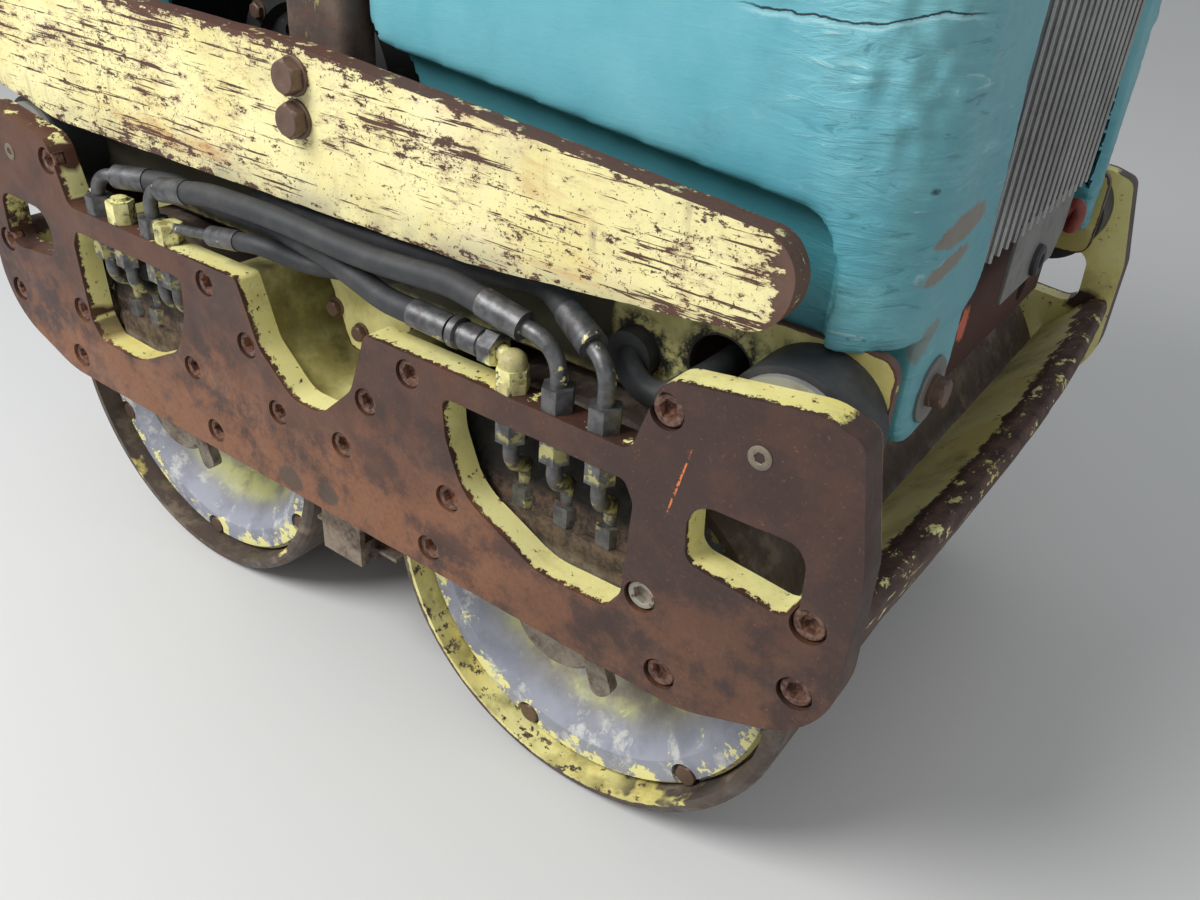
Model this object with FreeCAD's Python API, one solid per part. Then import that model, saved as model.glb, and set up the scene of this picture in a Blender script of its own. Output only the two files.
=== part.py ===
import FreeCAD, Part
import math
import os

# Walk-behind tandem vibratory roller, in millimetres.
# X points forward, Y to the machine's left, Z up, ground at Z 0.
# Everything is drawn with X 0 midway between the drums and moved at export.

# Driving sizes
drumRadius = 200.0
drumWidth = 630.0
drumWall = 14.0
discThickness = 12.0
wheelbase = 512.0
axleRadius = 32.0
axleGap = 0.05
drumGap = 17.0
plateThickness = 25.0
plateLift = 12.0
plateOverhang = 44.0
notchHalf = 78.0
bufferRadius = 49.0
bufferLength = 44.0
frameWall = 8.0
guardThickness = 20.0
postHalf = 33.0
archTop = 1010.0
hoodTop = 950.0
hoodWall = 6.0
hoodCorner = 62.0
bayLength = 200.0
ribPitch = 23.0
finPitch = 14.0
hoseRadius = 10.0
lidPin = 5.0
drawbarAngle = 29.0
drawbarLength = 880.0
drawbarHalf = 30.0
pivotPin = 15.0
gripReach = 180.0
gripHalf = 230.0
gripRadius = 14.0

# Places that follow from them
axleX = wheelbase / 2.0
axleZ = drumRadius
drumTop = 2.0 * drumRadius
drumHalf = drumWidth / 2.0
plateInner = drumHalf + drumGap
halfWidth = plateInner + plateThickness
plateEnd = axleX + drumRadius + plateOverhang
stripZ = drumTop + 9.0
stripY = -(plateInner + plateThickness / 2.0)
bufferPlate = 5.0
bufferX = plateEnd - 80.0
bufferZ = drumTop + 41.0
frameOuter = plateInner - bufferPlate - bufferLength
frameInner = frameOuter - frameWall
frameEnd = plateEnd - 34.0
frameBottom = drumTop + 8.0
frameTop = drumTop + 94.0
floorTop = drumTop + 20.0
guardOuter = halfWidth - 19.0
guardInner = guardOuter - guardThickness
guardMiddle = drumTop + 169.5
hoodHalf = halfWidth - 57.0
recessHalf = hoodHalf - 22.0
hoodFront = plateEnd - 37.0
hoodRear = postHalf + 4.0
hoodBottom = drumTop + 97.0
bayEnd = hoodRear + bayLength
crossOuter = plateEnd - 72.0
crossInner = crossOuter - 10.0
bumperBowOut = 16.0
bumperFront = plateEnd - 4.0 + bumperBowOut
pivotX = -(plateEnd + 45.0)
pivotZ = drumTop + 145.0
headX = pivotX - drawbarLength * math.cos(math.radians(drawbarAngle))
headZ = pivotZ + drawbarLength * math.sin(math.radians(drawbarAngle))
gripX = headX - gripReach
originShift = (gripRadius - gripX - bumperFront) / 2.0
V = FreeCAD.Vector


def box(x0, x1, y0, y1, z0, z1):
    return Part.makeBox(x1 - x0, y1 - y0, z1 - z0, V(x0, y0, z0))


def rod(radius, start, end):
    direction = V(*end) - V(*start)
    return Part.makeCylinder(radius, direction.Length, V(*start), direction)


def outline(corners):
    """Closed wire in the XZ plane through corners of x, z and rounding radius."""
    count = len(corners)
    edges = []
    previousEnd = None
    firstStart = None
    for i in range(count):
        before = V(corners[i - 1][0], 0, corners[i - 1][1])
        here = V(corners[i][0], 0, corners[i][1])
        after = V(corners[(i + 1) % count][0], 0, corners[(i + 1) % count][1])
        radius = corners[i][2]
        if radius > 0:
            inward = (before - here).normalize()
            onward = (after - here).normalize()
            half = inward.getAngle(onward) / 2.0
            reach = radius / math.tan(half)
            reach = min(reach, 0.48 * (before - here).Length, 0.48 * (after - here).Length)
            radius = reach * math.tan(half)
            bisector = (inward + onward).normalize()
            centre = here + bisector * (radius / math.sin(half))
            start = here + inward * reach
            end = here + onward * reach
            middle = centre - bisector * radius
        else:
            start = here
            end = here
        if previousEnd is None:
            firstStart = start
        elif (start - previousEnd).Length > 1e-6:
            edges.append(Part.makeLine(previousEnd, start))
        if radius > 0:
            edges.append(Part.Arc(start, middle, end).toShape())
        previousEnd = end
    edges.append(Part.makeLine(previousEnd, firstStart))
    return Part.Wire(edges)


def slab(corners, y0, y1):
    """A plate in the XZ plane from y0 to y1."""
    face = Part.Face(outline(corners))
    face.translate(V(0, y0, 0))
    return face.extrude(V(0, y1 - y0, 0))


def slabAcross(corners, x0, x1):
    """A plate in the YZ plane from x0 to x1, its corners given as y, z and radius."""
    plate = slab(corners, -x1, -x0)
    plate.rotate(V(0, 0, 0), V(0, 0, 1), 90)
    return plate


def leftOf(shape):
    return shape.mirror(V(0, 0, 0), V(0, 1, 0))


def rearOf(shape):
    return shape.mirror(V(0, 0, 0), V(1, 0, 0))


def bothSides(shape):
    return Part.makeCompound([shape, leftOf(shape)])


def route(points, share=0.45):
    """Open wire through points, each corner rounded as widely as its two runs allow."""
    vectors = [V(*p) for p in points]
    edges = []
    last = vectors[0]
    for i in range(1, len(vectors) - 1):
        inward = vectors[i - 1] - vectors[i]
        onward = vectors[i + 1] - vectors[i]
        reach = share * min(inward.Length, onward.Length)
        inward.normalize()
        onward.normalize()
        half = inward.getAngle(onward) / 2.0
        radius = reach * math.tan(half)
        bisector = (inward + onward).normalize()
        start = vectors[i] + inward * reach
        end = vectors[i] + onward * reach
        middle = vectors[i] + bisector * (radius / math.sin(half) - radius)
        edges.append(Part.makeLine(last, start))
        edges.append(Part.Arc(start, middle, end).toShape())
        last = end
    edges.append(Part.makeLine(last, vectors[-1]))
    return Part.Wire(edges)


def pipe(points, radius, share=0.45):
    direction = V(*points[1]) - V(*points[0])
    profile = Part.Wire(Part.makeCircle(radius, V(*points[0]), direction))
    return route(points, share).makePipeShell([profile], True, False)


def hexagon(flats, height, base, axis):
    """Hexagonal prism standing on base along axis."""
    corner = flats / math.sqrt(3.0)
    points = [V(corner * math.cos(math.radians(60 * i)), corner * math.sin(math.radians(60 * i)), 0)
              for i in range(7)]
    prism = Part.Face(Part.makePolygon(points)).extrude(V(0, 0, height))
    turn = FreeCAD.Rotation(V(0, 0, 1), V(*axis))
    prism.Placement = FreeCAD.Placement(V(*base), turn)
    return prism


def fuse(shapes):
    result = shapes[0].multiFuse(shapes[1:])
    return result.removeSplitter()


def revolved(profile, x, z):
    """Turns a profile of y, radius about the line along Y through x, z."""
    points = [V(0, y, r) for y, r in profile]
    solid = Part.Face(Part.makePolygon(points + [points[0]])).revolve(V(0, 0, 0), V(0, 1, 0), 360)
    solid.translate(V(x, 0, z))
    return solid


def gapHalf(z, clearance):
    """Half the gap between the drums at height z, less a clearance."""
    return axleX - math.sqrt((drumRadius + clearance) ** 2 - (z - axleZ) ** 2)


nodes = {}

# Side plates: x, z and rounding of the front half's outline, from the lower edge round to the notch
plateLow = axleZ + plateLift
plateFront = [(30, plateLow, 0), (plateEnd - 110, plateLow, 95), (plateEnd, plateLow + 43, 75),
              (plateEnd - 3, drumTop - 10, 30), (plateEnd - 21, drumTop + 76, 12),
              (plateEnd - 48, drumTop + 84, 40),
              (axleX + 90, drumTop + 69, 22), (axleX + 72, stripZ, 12), (notchHalf, stripZ, 6),
              (notchHalf - 20, drumTop - 48, 30), (notchHalf - 60, drumTop - 85, 26)]
plateRear = [(-x, z, r) for x, z, r in reversed(plateFront)]
# Window over each axle, and the hole near each end: distance from the axle or the end, height, rounding
windowCorners = [(axleX + dx, drumTop + dz, r) for dx, dz, r in (
    (-97, -15, 8), (69, -15, 8), (78, -30, 14), (75, -110, 16), (62, -130, 10), (-1, -132, 60),
    (-76, -95, 50), (-94, -50, 40))]
holeCorners = [(plateEnd + dx, drumTop + dz, r) for dx, dz, r in (
    (-125, -8, 20), (-40, -6, 16), (-37, -65, 16), (-122, -57, 12))]
# Screws through the plate: x, z, radius of the counterbore
screwTable = [(axleX + 96, drumTop + 47.5, 13), (axleX + 91, drumTop - 105, 13),
              (axleX + 114, drumTop - 165, 13), (axleX - 93, drumTop - 106, 12),
              (axleX - 115.4, drumTop - 166, 12), (axleX - 132.5, drumTop - 9, 12),
              (plateEnd - 30, drumTop - 62, 13), (plateEnd - 29, drumTop - 119, 13),
              (notchHalf - 3.6, drumTop - 52.4, 12), (notchHalf - 37, drumTop - 107, 12)]
screwDepth = 13.0
# Hydraulic fittings through the strips over the windows: distance from the axle
rearFittings = [-36, -2, 49, 71]
frontFittings = [-39, 2, 42]
fittingHole = 9.0


def sidePlate():
    plate = slab(plateFront + plateRear, -halfWidth, -plateInner)
    for sign in (1, -1):
        for corners in (windowCorners, holeCorners):
            hole = slab([(sign * x, z, r) for x, z, r in corners], -halfWidth - 1, -plateInner + 1)
            plate = plate.cut(hole)
        for x, z, radius in screwTable:
            counterbore = rod(radius, (sign * x, -halfWidth - 1, z), (sign * x, -halfWidth + screwDepth, z))
            plate = plate.cut(counterbore)
    for x in [-axleX + dx for dx in rearFittings] + [axleX + dx for dx in frontFittings]:
        plate = plate.cut(rod(fittingHole, (x, stripY, drumTop - 20), (x, stripY, stripZ + 5)))
    return plate


nodes["side_plate_right"] = sidePlate()
nodes["side_plate_left"] = leftOf(nodes["side_plate_right"])

# Bumpers between the plates: a slope rises from close over the drum to a bowed nose with a flange below
bumperGap = 7.0


def overDrum(gap, degrees):
    """Distance from the plate's end and height over the drums of a point this far off the front drum."""
    reach = drumRadius + gap
    along = reach * math.cos(math.radians(degrees))
    up = reach * math.sin(math.radians(degrees))
    return axleX + along - plateEnd, axleZ + up - drumTop


bumperSection = [(*overDrum(bumperGap, 29.5), 0), (-22, -52, bumperBowOut - 2), (-8, -50, bumperBowOut),
                 (-4, -60, bumperBowOut), (-12, -104, bumperBowOut - 6), (-24, -104, bumperBowOut - 6),
                 (-20, -68, bumperBowOut - 4), (*overDrum(bumperGap + 1.5, 26.0), 0)]


def bumperWire(y, share):
    points = [V(plateEnd + dx + share * bow, y, drumTop + dz) for dx, dz, bow in bumperSection]
    return Part.makePolygon(points + [points[0]])


bumperWires = [bumperWire(-plateInner, 0.0), bumperWire(0, 1.0), bumperWire(plateInner, 0.0)]
nodes["front_bumper"] = Part.makeLoft(bumperWires, True, False)
nodes["rear_bumper"] = rearOf(nodes["front_bumper"])

# Trough-shaped cross-member behind the notch, as low as the drums leave room for
troughFloor = 40.0
troughWall = 27.0
troughSlack = 31.4
troughReach = max(0.0, drumRadius ** 2 - (axleX - troughFloor - troughSlack) ** 2)
troughLow = max(plateLow + 40.0, axleZ + math.sqrt(troughReach))
troughTop = drumTop + 4.0
troughKnee = troughLow + 0.44 * (troughTop - troughLow)
kneeX = gapHalf(troughKnee, 11.0)
troughRight = [(kneeX + 30, troughTop, 6), (kneeX, troughKnee, 40), (troughFloor, troughLow, 30)]
troughInside = [(20, troughLow + troughWall, 26), (kneeX - 22, troughKnee + 16, 30),
                (kneeX - 4, troughTop, 6)]
nodes["centre_cross_member"] = slab(
    troughRight + [(-x, z, r) for x, z, r in reversed(troughRight)]
    + [(-x, z, r) for x, z, r in reversed(troughInside)] + troughInside, -plateInner, plateInner)

# Carriers behind the side plates: bolted plate, port block for the hoses, hub and stub axle
carrierHalf = 125.0
carrierThickness = 11.0
hubRadius = 46.0
carrierPlate = [(-carrierHalf, plateLift + 4, 12), (carrierHalf, plateLift + 4, 12), (carrierHalf, 108, 12),
                (82, 108, 10), (76, 62, 20), (-76, 62, 20), (-82, 108, 10), (-carrierHalf, 108, 12)]
hubProfile = [(-plateInner + 2, 0), (-plateInner + 2, hubRadius - 4), (-plateInner + 6, hubRadius),
              (-drumHalf + 26, hubRadius), (-drumHalf + 50, axleRadius), (-drumHalf + 110, axleRadius),
              (-drumHalf + 110, 0)]
# Finger that hangs in front of each disc, and the block that the hoses screw into
fingerPoints = [(14, 24, 6), (34, 24, 6), (60, -44, 9), (42, -58, 9)]
portBlock = [(-64, 58, 4), (82, 58, 4), (82, 96, 8), (-64, 96, 8)]
portFront = plateInner - 2.0
portBack = drumHalf - 11.0
for place, sign in (("front", 1.0), ("rear", -1.0)):
    x = sign * axleX
    plate = slab([(x + sign * dx, axleZ + dz, r) for dx, dz, r in carrierPlate],
                 -plateInner, -plateInner + carrierThickness)
    finger = slab([(x + dx, axleZ + dz, r) for dx, dz, r in fingerPoints], -plateInner + 2, -plateInner + 12)
    block = slab([(x + dx, axleZ + dz, r) for dx, dz, r in portBlock], -portFront, -portBack)
    carrier = fuse([plate, revolved(hubProfile, x, axleZ), finger, block])
    nodes["drum_carrier_%s_right" % place] = carrier
    nodes["drum_carrier_%s_left" % place] = leftOf(carrier)

# Drums: open shell with a flange ring inside each end, and a dished disc bolted into each end
flangeY = drumHalf - 33.0
flangeRadius = drumRadius - 35.0
discRadius = drumRadius - 17.0
discFace = flangeY + 14.0
boreRadius = drumRadius - drumWall
boltCircle = drumRadius - 25.0
shellProfile = [(-drumHalf, boreRadius), (-drumHalf, drumRadius - 7), (-drumHalf + 3, drumRadius - 2),
                (-drumHalf + 9, drumRadius), (drumHalf - 9, drumRadius), (drumHalf - 3, drumRadius - 2),
                (drumHalf, drumRadius - 7), (drumHalf, boreRadius), (flangeY, boreRadius),
                (flangeY, flangeRadius), (flangeY - 12, flangeRadius), (flangeY - 12, boreRadius),
                (-flangeY + 12, boreRadius), (-flangeY + 12, flangeRadius), (-flangeY, flangeRadius),
                (-flangeY, boreRadius)]
hubBore = axleRadius + axleGap
discProfile = [(-flangeY, discRadius), (-discFace + 4, discRadius), (-discFace, discRadius - 4),
               (-discFace, discRadius - 25), (-discFace + 46, discRadius - 71), (-discFace + 50, 60),
               (-discFace + 40, 50), (-discFace + 40, hubBore), (-discFace + 84, hubBore),
               (-discFace + 84, 50),
               (-discFace + 50 + discThickness, 62), (-discFace + 46 + discThickness, discRadius - 67),
               (-flangeY, discRadius - 21)]
for place, sign, phase in (("front", 1.0, 17.0), ("rear", -1.0, 4.0)):
    disc = revolved(discProfile, sign * axleX, axleZ)
    for i in range(6):
        angle = math.radians(60 * i + phase)
        boltX = sign * axleX + boltCircle * math.sin(angle)
        boltZ = axleZ + boltCircle * math.cos(angle)
        disc = disc.cut(rod(13, (boltX, -discFace - 2, boltZ), (boltX, -flangeY - 1, boltZ)))
    nodes["drum_%s_shell" % place] = revolved(shellProfile, sign * axleX, axleZ)
    nodes["drum_%s_discs" % place] = bothSides(disc)

# Scraper bar between the drums, hung from the side plates, its blade clear of both drums
scraperZ = axleZ - 50.0
bladeHalf = gapHalf(scraperZ, 7.0)
barHalfX = min(26.0, gapHalf(axleZ, 12.0))
hangerTop = axleZ + 70.0
nodes["scraper_bar"] = fuse([
    box(-barHalfX, barHalfX, -plateInner + 6, plateInner - 6, scraperZ - 12, scraperZ + 13),
    box(-barHalfX, barHalfX, -plateInner, -plateInner + 6, scraperZ - 12, hangerTop),
    box(-barHalfX, barHalfX, plateInner - 6, plateInner, scraperZ - 12, hangerTop),
    box(-bladeHalf, bladeHalf, -drumHalf, drumHalf, scraperZ - 2, scraperZ + 2)])

# Round rubber buffers that carry the upper frame
bufferRubbers = []
bufferPlates = []
for sx in (1, -1):
    for sy in (1, -1):
        x = sx * bufferX
        seam = sy * (plateInner - bufferPlate)
        bufferPlates.append(rod(bufferRadius - 5, (x, sy * plateInner, bufferZ), (x, seam, bufferZ)))
        bufferRubbers.append(rod(bufferRadius, (x, seam, bufferZ), (x, sy * frameOuter, bufferZ)))
nodes["buffer_plates"] = Part.makeCompound(bufferPlates)
nodes["buffer_rubbers"] = Part.makeCompound(bufferRubbers)

# Upper frame: side plates with a web down into the notch, floor and cross plates
webLow = min(troughLow + troughWall + 33.0, frameBottom - 20.0)
frameCorners = [(frameEnd, frameBottom, 14), (frameEnd, frameTop, 14), (-frameEnd, frameTop, 14),
                (-frameEnd, frameBottom, 14), (-50, frameBottom, 6), (-24, webLow, 10), (44, webLow, 10),
                (60, frameBottom, 10)]
frameSide = slab(frameCorners, -frameOuter, -frameInner)
# Hose holes: x, height over the drums, radius
hoseHoles = [(axleX + 24, 38, 19), (axleX + 91, 48, 24), (-116, 58, 15), (52, 32, 12)]
for x, height, radius in hoseHoles:
    frameSide = frameSide.cut(rod(radius, (x, -frameOuter - 2, drumTop + height),
                                  (x, -frameInner + 2, drumTop + height)))
nodes["frame_side_right"] = frameSide
nodes["frame_side_left"] = leftOf(frameSide)
nodes["frame_floor"] = box(-crossInner, crossInner, -frameInner, frameInner, floorTop - 8, floorTop)
crossLow = drumTop - 38.0
crossTop = hoodBottom
tieHole = 14.0
tieY = 200.0
crossPlate = box(crossInner, crossOuter, -frameInner, frameInner, crossLow, crossTop)
for side in (1, -1):
    crossPlate = crossPlate.cut(rod(tieHole, (crossInner - 5, side * tieY, crossLow + 23),
                                    (crossOuter + 5, side * tieY, crossLow + 23)))
nodes["front_cross_plate"] = crossPlate
nodes["rear_cross_plate"] = box(-crossOuter, -crossInner, -frameInner, frameInner, crossLow, crossTop)

# Guard bars bolted to the lifting frame's posts: x, height from the middle of the bar, rounding
guardFront = crossOuter - 11.0
guardRear = -(plateEnd - 20.0)
guardCorners = [(guardFront, -2, 40), (guardFront - 8, -61, 34), (170, -82, 200), (-350, -87, 200),
                (guardRear, -64, 34), (guardRear - 2, -6, 34), (guardRear + 40, 26, 60), (-200, 39, 300),
                (0, 36, 300), (250, 14, 200)]
guardBolts = (-16.0, 15.0)
boltHole = 10.5
guard = slab([(x, guardMiddle + dz, r) for x, dz, r in guardCorners], -guardOuter, -guardInner)
for dz in guardBolts:
    guard = guard.cut(rod(boltHole, (0, -guardOuter - 2, guardMiddle + dz),
                          (0, -guardInner + 2, guardMiddle + dz)))
nodes["guard_bar_right"] = guard
nodes["guard_bar_left"] = leftOf(guard)

# Lifting frame: two posts that stand inside the frame's side plates, a top beam and an eye
postInner = frameOuter
footInner = frameInner - 18.0
post = box(-postHalf, postHalf, -guardInner, -postInner, frameTop - 4, archTop)
post = post.makeFillet(10, [e for e in post.Edges if e.BoundBox.ZLength > 300])
foot = box(-postHalf, postHalf, -frameInner, -footInner, floorTop, frameTop + 66)
shelf = box(-postHalf, postHalf, -postInner, -frameInner, frameTop, frameTop + 66)
leg = fuse([post, foot, shelf])
beam = box(-postHalf, postHalf, -guardInner, guardInner, archTop - 60, archTop)
nodes["lifting_frame"] = fuse([leg, leftOf(leg), beam])
eyeRadius = 20.0
eyeZ = archTop + 33.0
eye = slab([(-56, archTop, 0), (-34, archTop + 62, 34), (34, archTop + 62, 34), (56, archTop, 0)], -10, 10)
nodes["lifting_eye"] = eye.cut(rod(eyeRadius, (0, -20, eyeZ), (0, 20, eyeZ)))


# Hoods: hollow shells with rounded corners and a side recess for the guard bar
def hoodSolid(inset, nearX, farX):
    half = hoodHalf - inset
    low = hoodBottom - (20 if inset else 0)
    body = box(nearX, farX - inset, -half, half, low, hoodTop - inset)
    corner = hoodCorner - inset
    upright = [e for e in body.Edges if e.BoundBox.ZLength > 100 and e.BoundBox.XMin > nearX + 1]
    body = body.makeFillet(corner, upright)
    top = [e for e in body.Edges if e.BoundBox.ZMin > hoodTop - inset - 1 and e.BoundBox.XMax > nearX + 1]
    return body.makeFillet(corner * 0.6, top)


def hoodShell(nearX, recess):
    """Hollow hood from nearX to the hood's end, its recess outlined by corners of x, height and rounding."""
    shells = []
    for inset in (0.0, hoodWall):
        corners = [(x + inset, guardMiddle + dz + (inset if dz > -60 else 0), r) for x, dz, r in recess]
        tool = slab(corners, -halfWidth, -recessHalf + inset)
        shells.append(hoodSolid(inset, nearX - inset, hoodFront).cut(tool).cut(leftOf(tool)))
    return shells[0].cut(shells[1])


underHood = -(guardMiddle - drumTop)
frontRecess = [(-900, underHood, 0), (guardFront + 1, underHood, 0), (guardFront + 1, -24, 40),
               (guardFront - 10, 4, 24), (guardFront - 45, 8, 40), (hoodRear + 13, 40, 60), (-900, 40, 0)]
rearRecess = [(-900, underHood, 0), (900, underHood, 0), (900, 44, 0), (-900, 44, 0)]
openingRight = -hoodHalf + 154.0
openingLeft = hoodHalf - 110.0
openingTop = hoodTop - 60.0
openingFlare = 41.0
flareTop = drumTop + 240.0
legWidth = 78.0
legBack = hoodFront - 33.0
farLegOuter = frameInner - 3.0
farLegInner = openingLeft + openingFlare
farLegLow = hoodBottom - 60.0


def hoodLeg(outer, inner):
    """Flap that hangs from the hood's end to just above the drum, from y outer to y inner."""
    legTop = hoodBottom + 14
    points = [(outer, legTop, 0), (outer, drumTop, 26), (inner, drumTop, 40), (inner, legTop, 0)]
    return slabAcross(points, legBack, hoodFront - 3)


rearCorner = slab([(hoodRear - 8, hoodBottom - 30, 0), (hoodRear + 38, hoodBottom - 30, 0),
                   (hoodRear + 38, guardMiddle - 10, 0), (hoodRear + 20, guardMiddle + 24, 0),
                   (hoodRear - 8, guardMiddle + 68, 0)], -halfWidth, halfWidth)
frontHood = hoodShell(hoodRear, frontRecess)
openingCorners = [(openingRight, hoodBottom - 30, 0), (farLegInner + 8, hoodBottom - 30, 0),
                  (farLegInner, hoodBottom, 0), (openingLeft, flareTop, 60), (openingLeft, openingTop, 12),
                  (openingRight, openingTop, 12)]
frontHood = frontHood.cut(slabAcross(openingCorners, legBack, hoodFront + 20))
frontHood = frontHood.cut(rearCorner)
farLeg = [(farLegOuter, hoodBottom + 14, 0), (farLegOuter, farLegLow, 8), (farLegOuter - 22, farLegLow, 22),
          (farLegInner - 4, hoodBottom - 14, 30), (farLegInner - 8, hoodBottom + 14, 0)]
nodes["front_hood"] = fuse([frontHood, hoodLeg(openingRight - legWidth, openingRight + 5),
                            slabAcross(farLeg, legBack, hoodFront - 3)])
lidFront = bayEnd + 16.0
lidRear = hoodFront - 60.0
rearHood = hoodShell(bayEnd, rearRecess)
rearHood = rearHood.cut(box(lidFront + 14, lidRear - 14, -176, 176, hoodTop - 40, hoodTop + 20))
rearHood = rearHood.cut(box(hoodFront - 23, hoodFront + 20, -75, 75, hoodBottom - 20, hoodBottom + 123))
rearLeg = hoodLeg(openingRight - legWidth, openingRight)
nodes["rear_hood"] = rearOf(fuse([rearHood, rearLeg, leftOf(rearLeg)]))

# Service lid on the rear hood, hinged along its front edge
hingeX = -lidFront
hingeZ = hoodTop + 15.0
lidHalf = 196.0
nodes["service_lid"] = fuse([
    box(-lidRear, hingeX, -lidHalf, lidHalf, hoodTop + 6, hoodTop + 12),
    rod(lidPin + 4, (hingeX, -lidHalf, hingeZ), (hingeX, lidHalf, hingeZ)),
    rod(lidPin, (hingeX, -lidHalf - 20, hingeZ), (hingeX, lidHalf + 20, hingeZ))])
hingeEar = box(hingeX - 10, hingeX + 10, -lidHalf - 20, -lidHalf - 6, hoodTop, hingeZ + 10)
hingeEar = hingeEar.cut(rod(lidPin + axleGap, (hingeX, -lidHalf - 30, hingeZ), (hingeX, -lidHalf, hingeZ)))
nodes["lid_hinge"] = bothSides(hingeEar)

# Ribbed cooler in the front opening, with a plain apron below its ribs and a hook beside it
coolerFront = crossOuter - 2.0
coolerMiddle = (openingRight + openingLeft) / 2.0
coolerHalf = (openingLeft - openingRight) / 2.0 - 4.0
ribHalf = 5.0
ribCount = int(2 * (coolerHalf - 22) / ribPitch)
ribs = [box(coolerFront, hoodFront - 3, y - ribHalf, y + ribHalf, crossTop + 8, openingTop - 10)
        for y in [coolerMiddle + ribPitch * (i - ribCount / 2.0) for i in range(ribCount + 1)]]
core = box(coolerFront - 30, coolerFront, coolerMiddle - coolerHalf, coolerMiddle + coolerHalf, crossTop,
           openingTop - 4)
apronY = coolerMiddle + 39.0
apronHalf = 89.0
apron = box(hoodFront - 9, hoodFront - 5, apronY - apronHalf, apronY + apronHalf,
            crossTop - 50, crossTop + 15)
grommet = rod(13, (hoodFront - 6, apronY - 4, crossTop - 34), (hoodFront + 2, apronY - 4, crossTop - 34))
nodes["radiator"] = fuse([core, apron, grommet] + ribs)
hookY = apronY + apronHalf + 26.0
nodes["hood_hook"] = fuse([
    box(crossOuter + 2, crossOuter + 26, hookY - 6, hookY + 6, drumTop + 40, drumTop + 93),
    box(crossOuter, crossOuter + 8, hookY - 12, hookY + 12, drumTop + 25, drumTop + 45)])

# Engine: crankcase under the front hood, finned cylinder, fan cover and air cleaner in the open bay
crankTop = drumTop + 240.0
cylinderX = -(hoodRear + bayLength / 2.0)
cylinderTop = crankTop + 190.0
engineHalf = 160.0
crankcase = box(-bayEnd + 30, axleX + 70, -engineHalf, engineHalf, floorTop, crankTop)
crankcase = crankcase.makeChamfer(24, [e for e in crankcase.Edges if e.BoundBox.ZMin > crankTop - 1])
cylinder = box(cylinderX - 52, cylinderX + 52, -90, 90, crankTop - 2, cylinderTop)
finReach = 68.0
finHalf = 112.0
fins = [box(cylinderX - finReach, cylinderX + finReach, -finHalf, finHalf, z, z + 5)
        for z in [crankTop + 22 + finPitch * i for i in range(int(150 / finPitch))]]
nodes["engine_block"] = fuse([crankcase, cylinder] + fins)
fanRadius = 98.0
fanZ = floorTop + 118.0
fanProfile = [(-engineHalf, 0), (-engineHalf, fanRadius), (-engineHalf - 46, fanRadius),
              (-engineHalf - 58, fanRadius - 14), (-engineHalf - 58, fanRadius - 30),
              (-engineHalf - 50, fanRadius - 36), (-engineHalf - 50, 30), (-engineHalf - 64, 22),
              (-engineHalf - 64, 0)]
fanCover = revolved(fanProfile, cylinderX, fanZ)
for i in range(12):
    angle = math.radians(30 * i)
    slot = rod(7, (cylinderX + 46 * math.cos(angle), -engineHalf - 70, fanZ + 46 * math.sin(angle)),
               (cylinderX + 46 * math.cos(angle), -engineHalf - 40, fanZ + 46 * math.sin(angle)))
    fanCover = fanCover.cut(slot)
nodes["fan_cover"] = fanCover
cleanerRadius = 62.0
cleanerZ = cylinderTop + cleanerRadius
cleanerProfile = [(-150, 0), (-150, cleanerRadius - 10), (-140, cleanerRadius), (-60, cleanerRadius),
                  (-56, cleanerRadius - 6), (-50, cleanerRadius - 6), (-46, cleanerRadius),
                  (140, cleanerRadius),
                  (150, cleanerRadius - 10), (150, 0)]
nodes["air_cleaner"] = revolved(cleanerProfile, cylinderX, cleanerZ)
tankHalf = 200.0
tankTop = hoodTop - 190.0
nodes["hydraulic_tank"] = box(-crossInner, -(bayEnd + 22), -tankHalf, tankHalf, floorTop, tankTop)

# Hydraulic fittings on the strips: tube elbow, nuts above and below, and a tube down to the port block
nutFlats = 22.0
tubeRadius = 6.3
sleeveRadius = 11.0
sleeveLength = 38.0
nutHeight = 18.0
# Hose ends: name, x, rise of the elbow over the strip, slope of the hose end, how far it turns inboard,
# run of bare tube, tube radius, sleeve radius
elbowTable = [("rearOuter", -axleX + rearFittings[0], 38, 4, 13, 28, 6.3, 11.0),
              ("rearInner", -axleX + rearFittings[2], 44, 10, 0, 24, 6.3, 11.0),
              ("rearSmall", -axleX + rearFittings[3], 14, 8, 0, 66, 4.5, 9.0),
              ("frontInner", axleX + frontFittings[0], 25, 178, 0, 58, 6.3, 11.0),
              ("frontMiddle", axleX + frontFittings[1], 46, 170, 0, 32, 6.3, 11.0),
              ("frontOuter", axleX + frontFittings[2], 45, 165, 25, 22, 6.3, 11.0)]
portTop = axleZ + 96.0
dropBend = drumTop - 56.0
portShift = V(-4, 26, 0)


def lowerFitting(x):
    """Nut under the strip, tube down and inboard, and nut on the port block."""
    foot = V(x, stripY, portTop) + portShift
    drop = pipe([(x, stripY, drumTop - 25), (x, stripY, dropBend), (foot.x, foot.y - 2, dropBend - 10),
                 (foot.x, foot.y, portTop + 4)], tubeRadius)
    return [drop, hexagon(nutFlats, nutHeight, (x, stripY, drumTop - 33), (0, 0, 1)),
            hexagon(nutFlats, nutHeight, tuple(foot), (0, 0, 1))]


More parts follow.
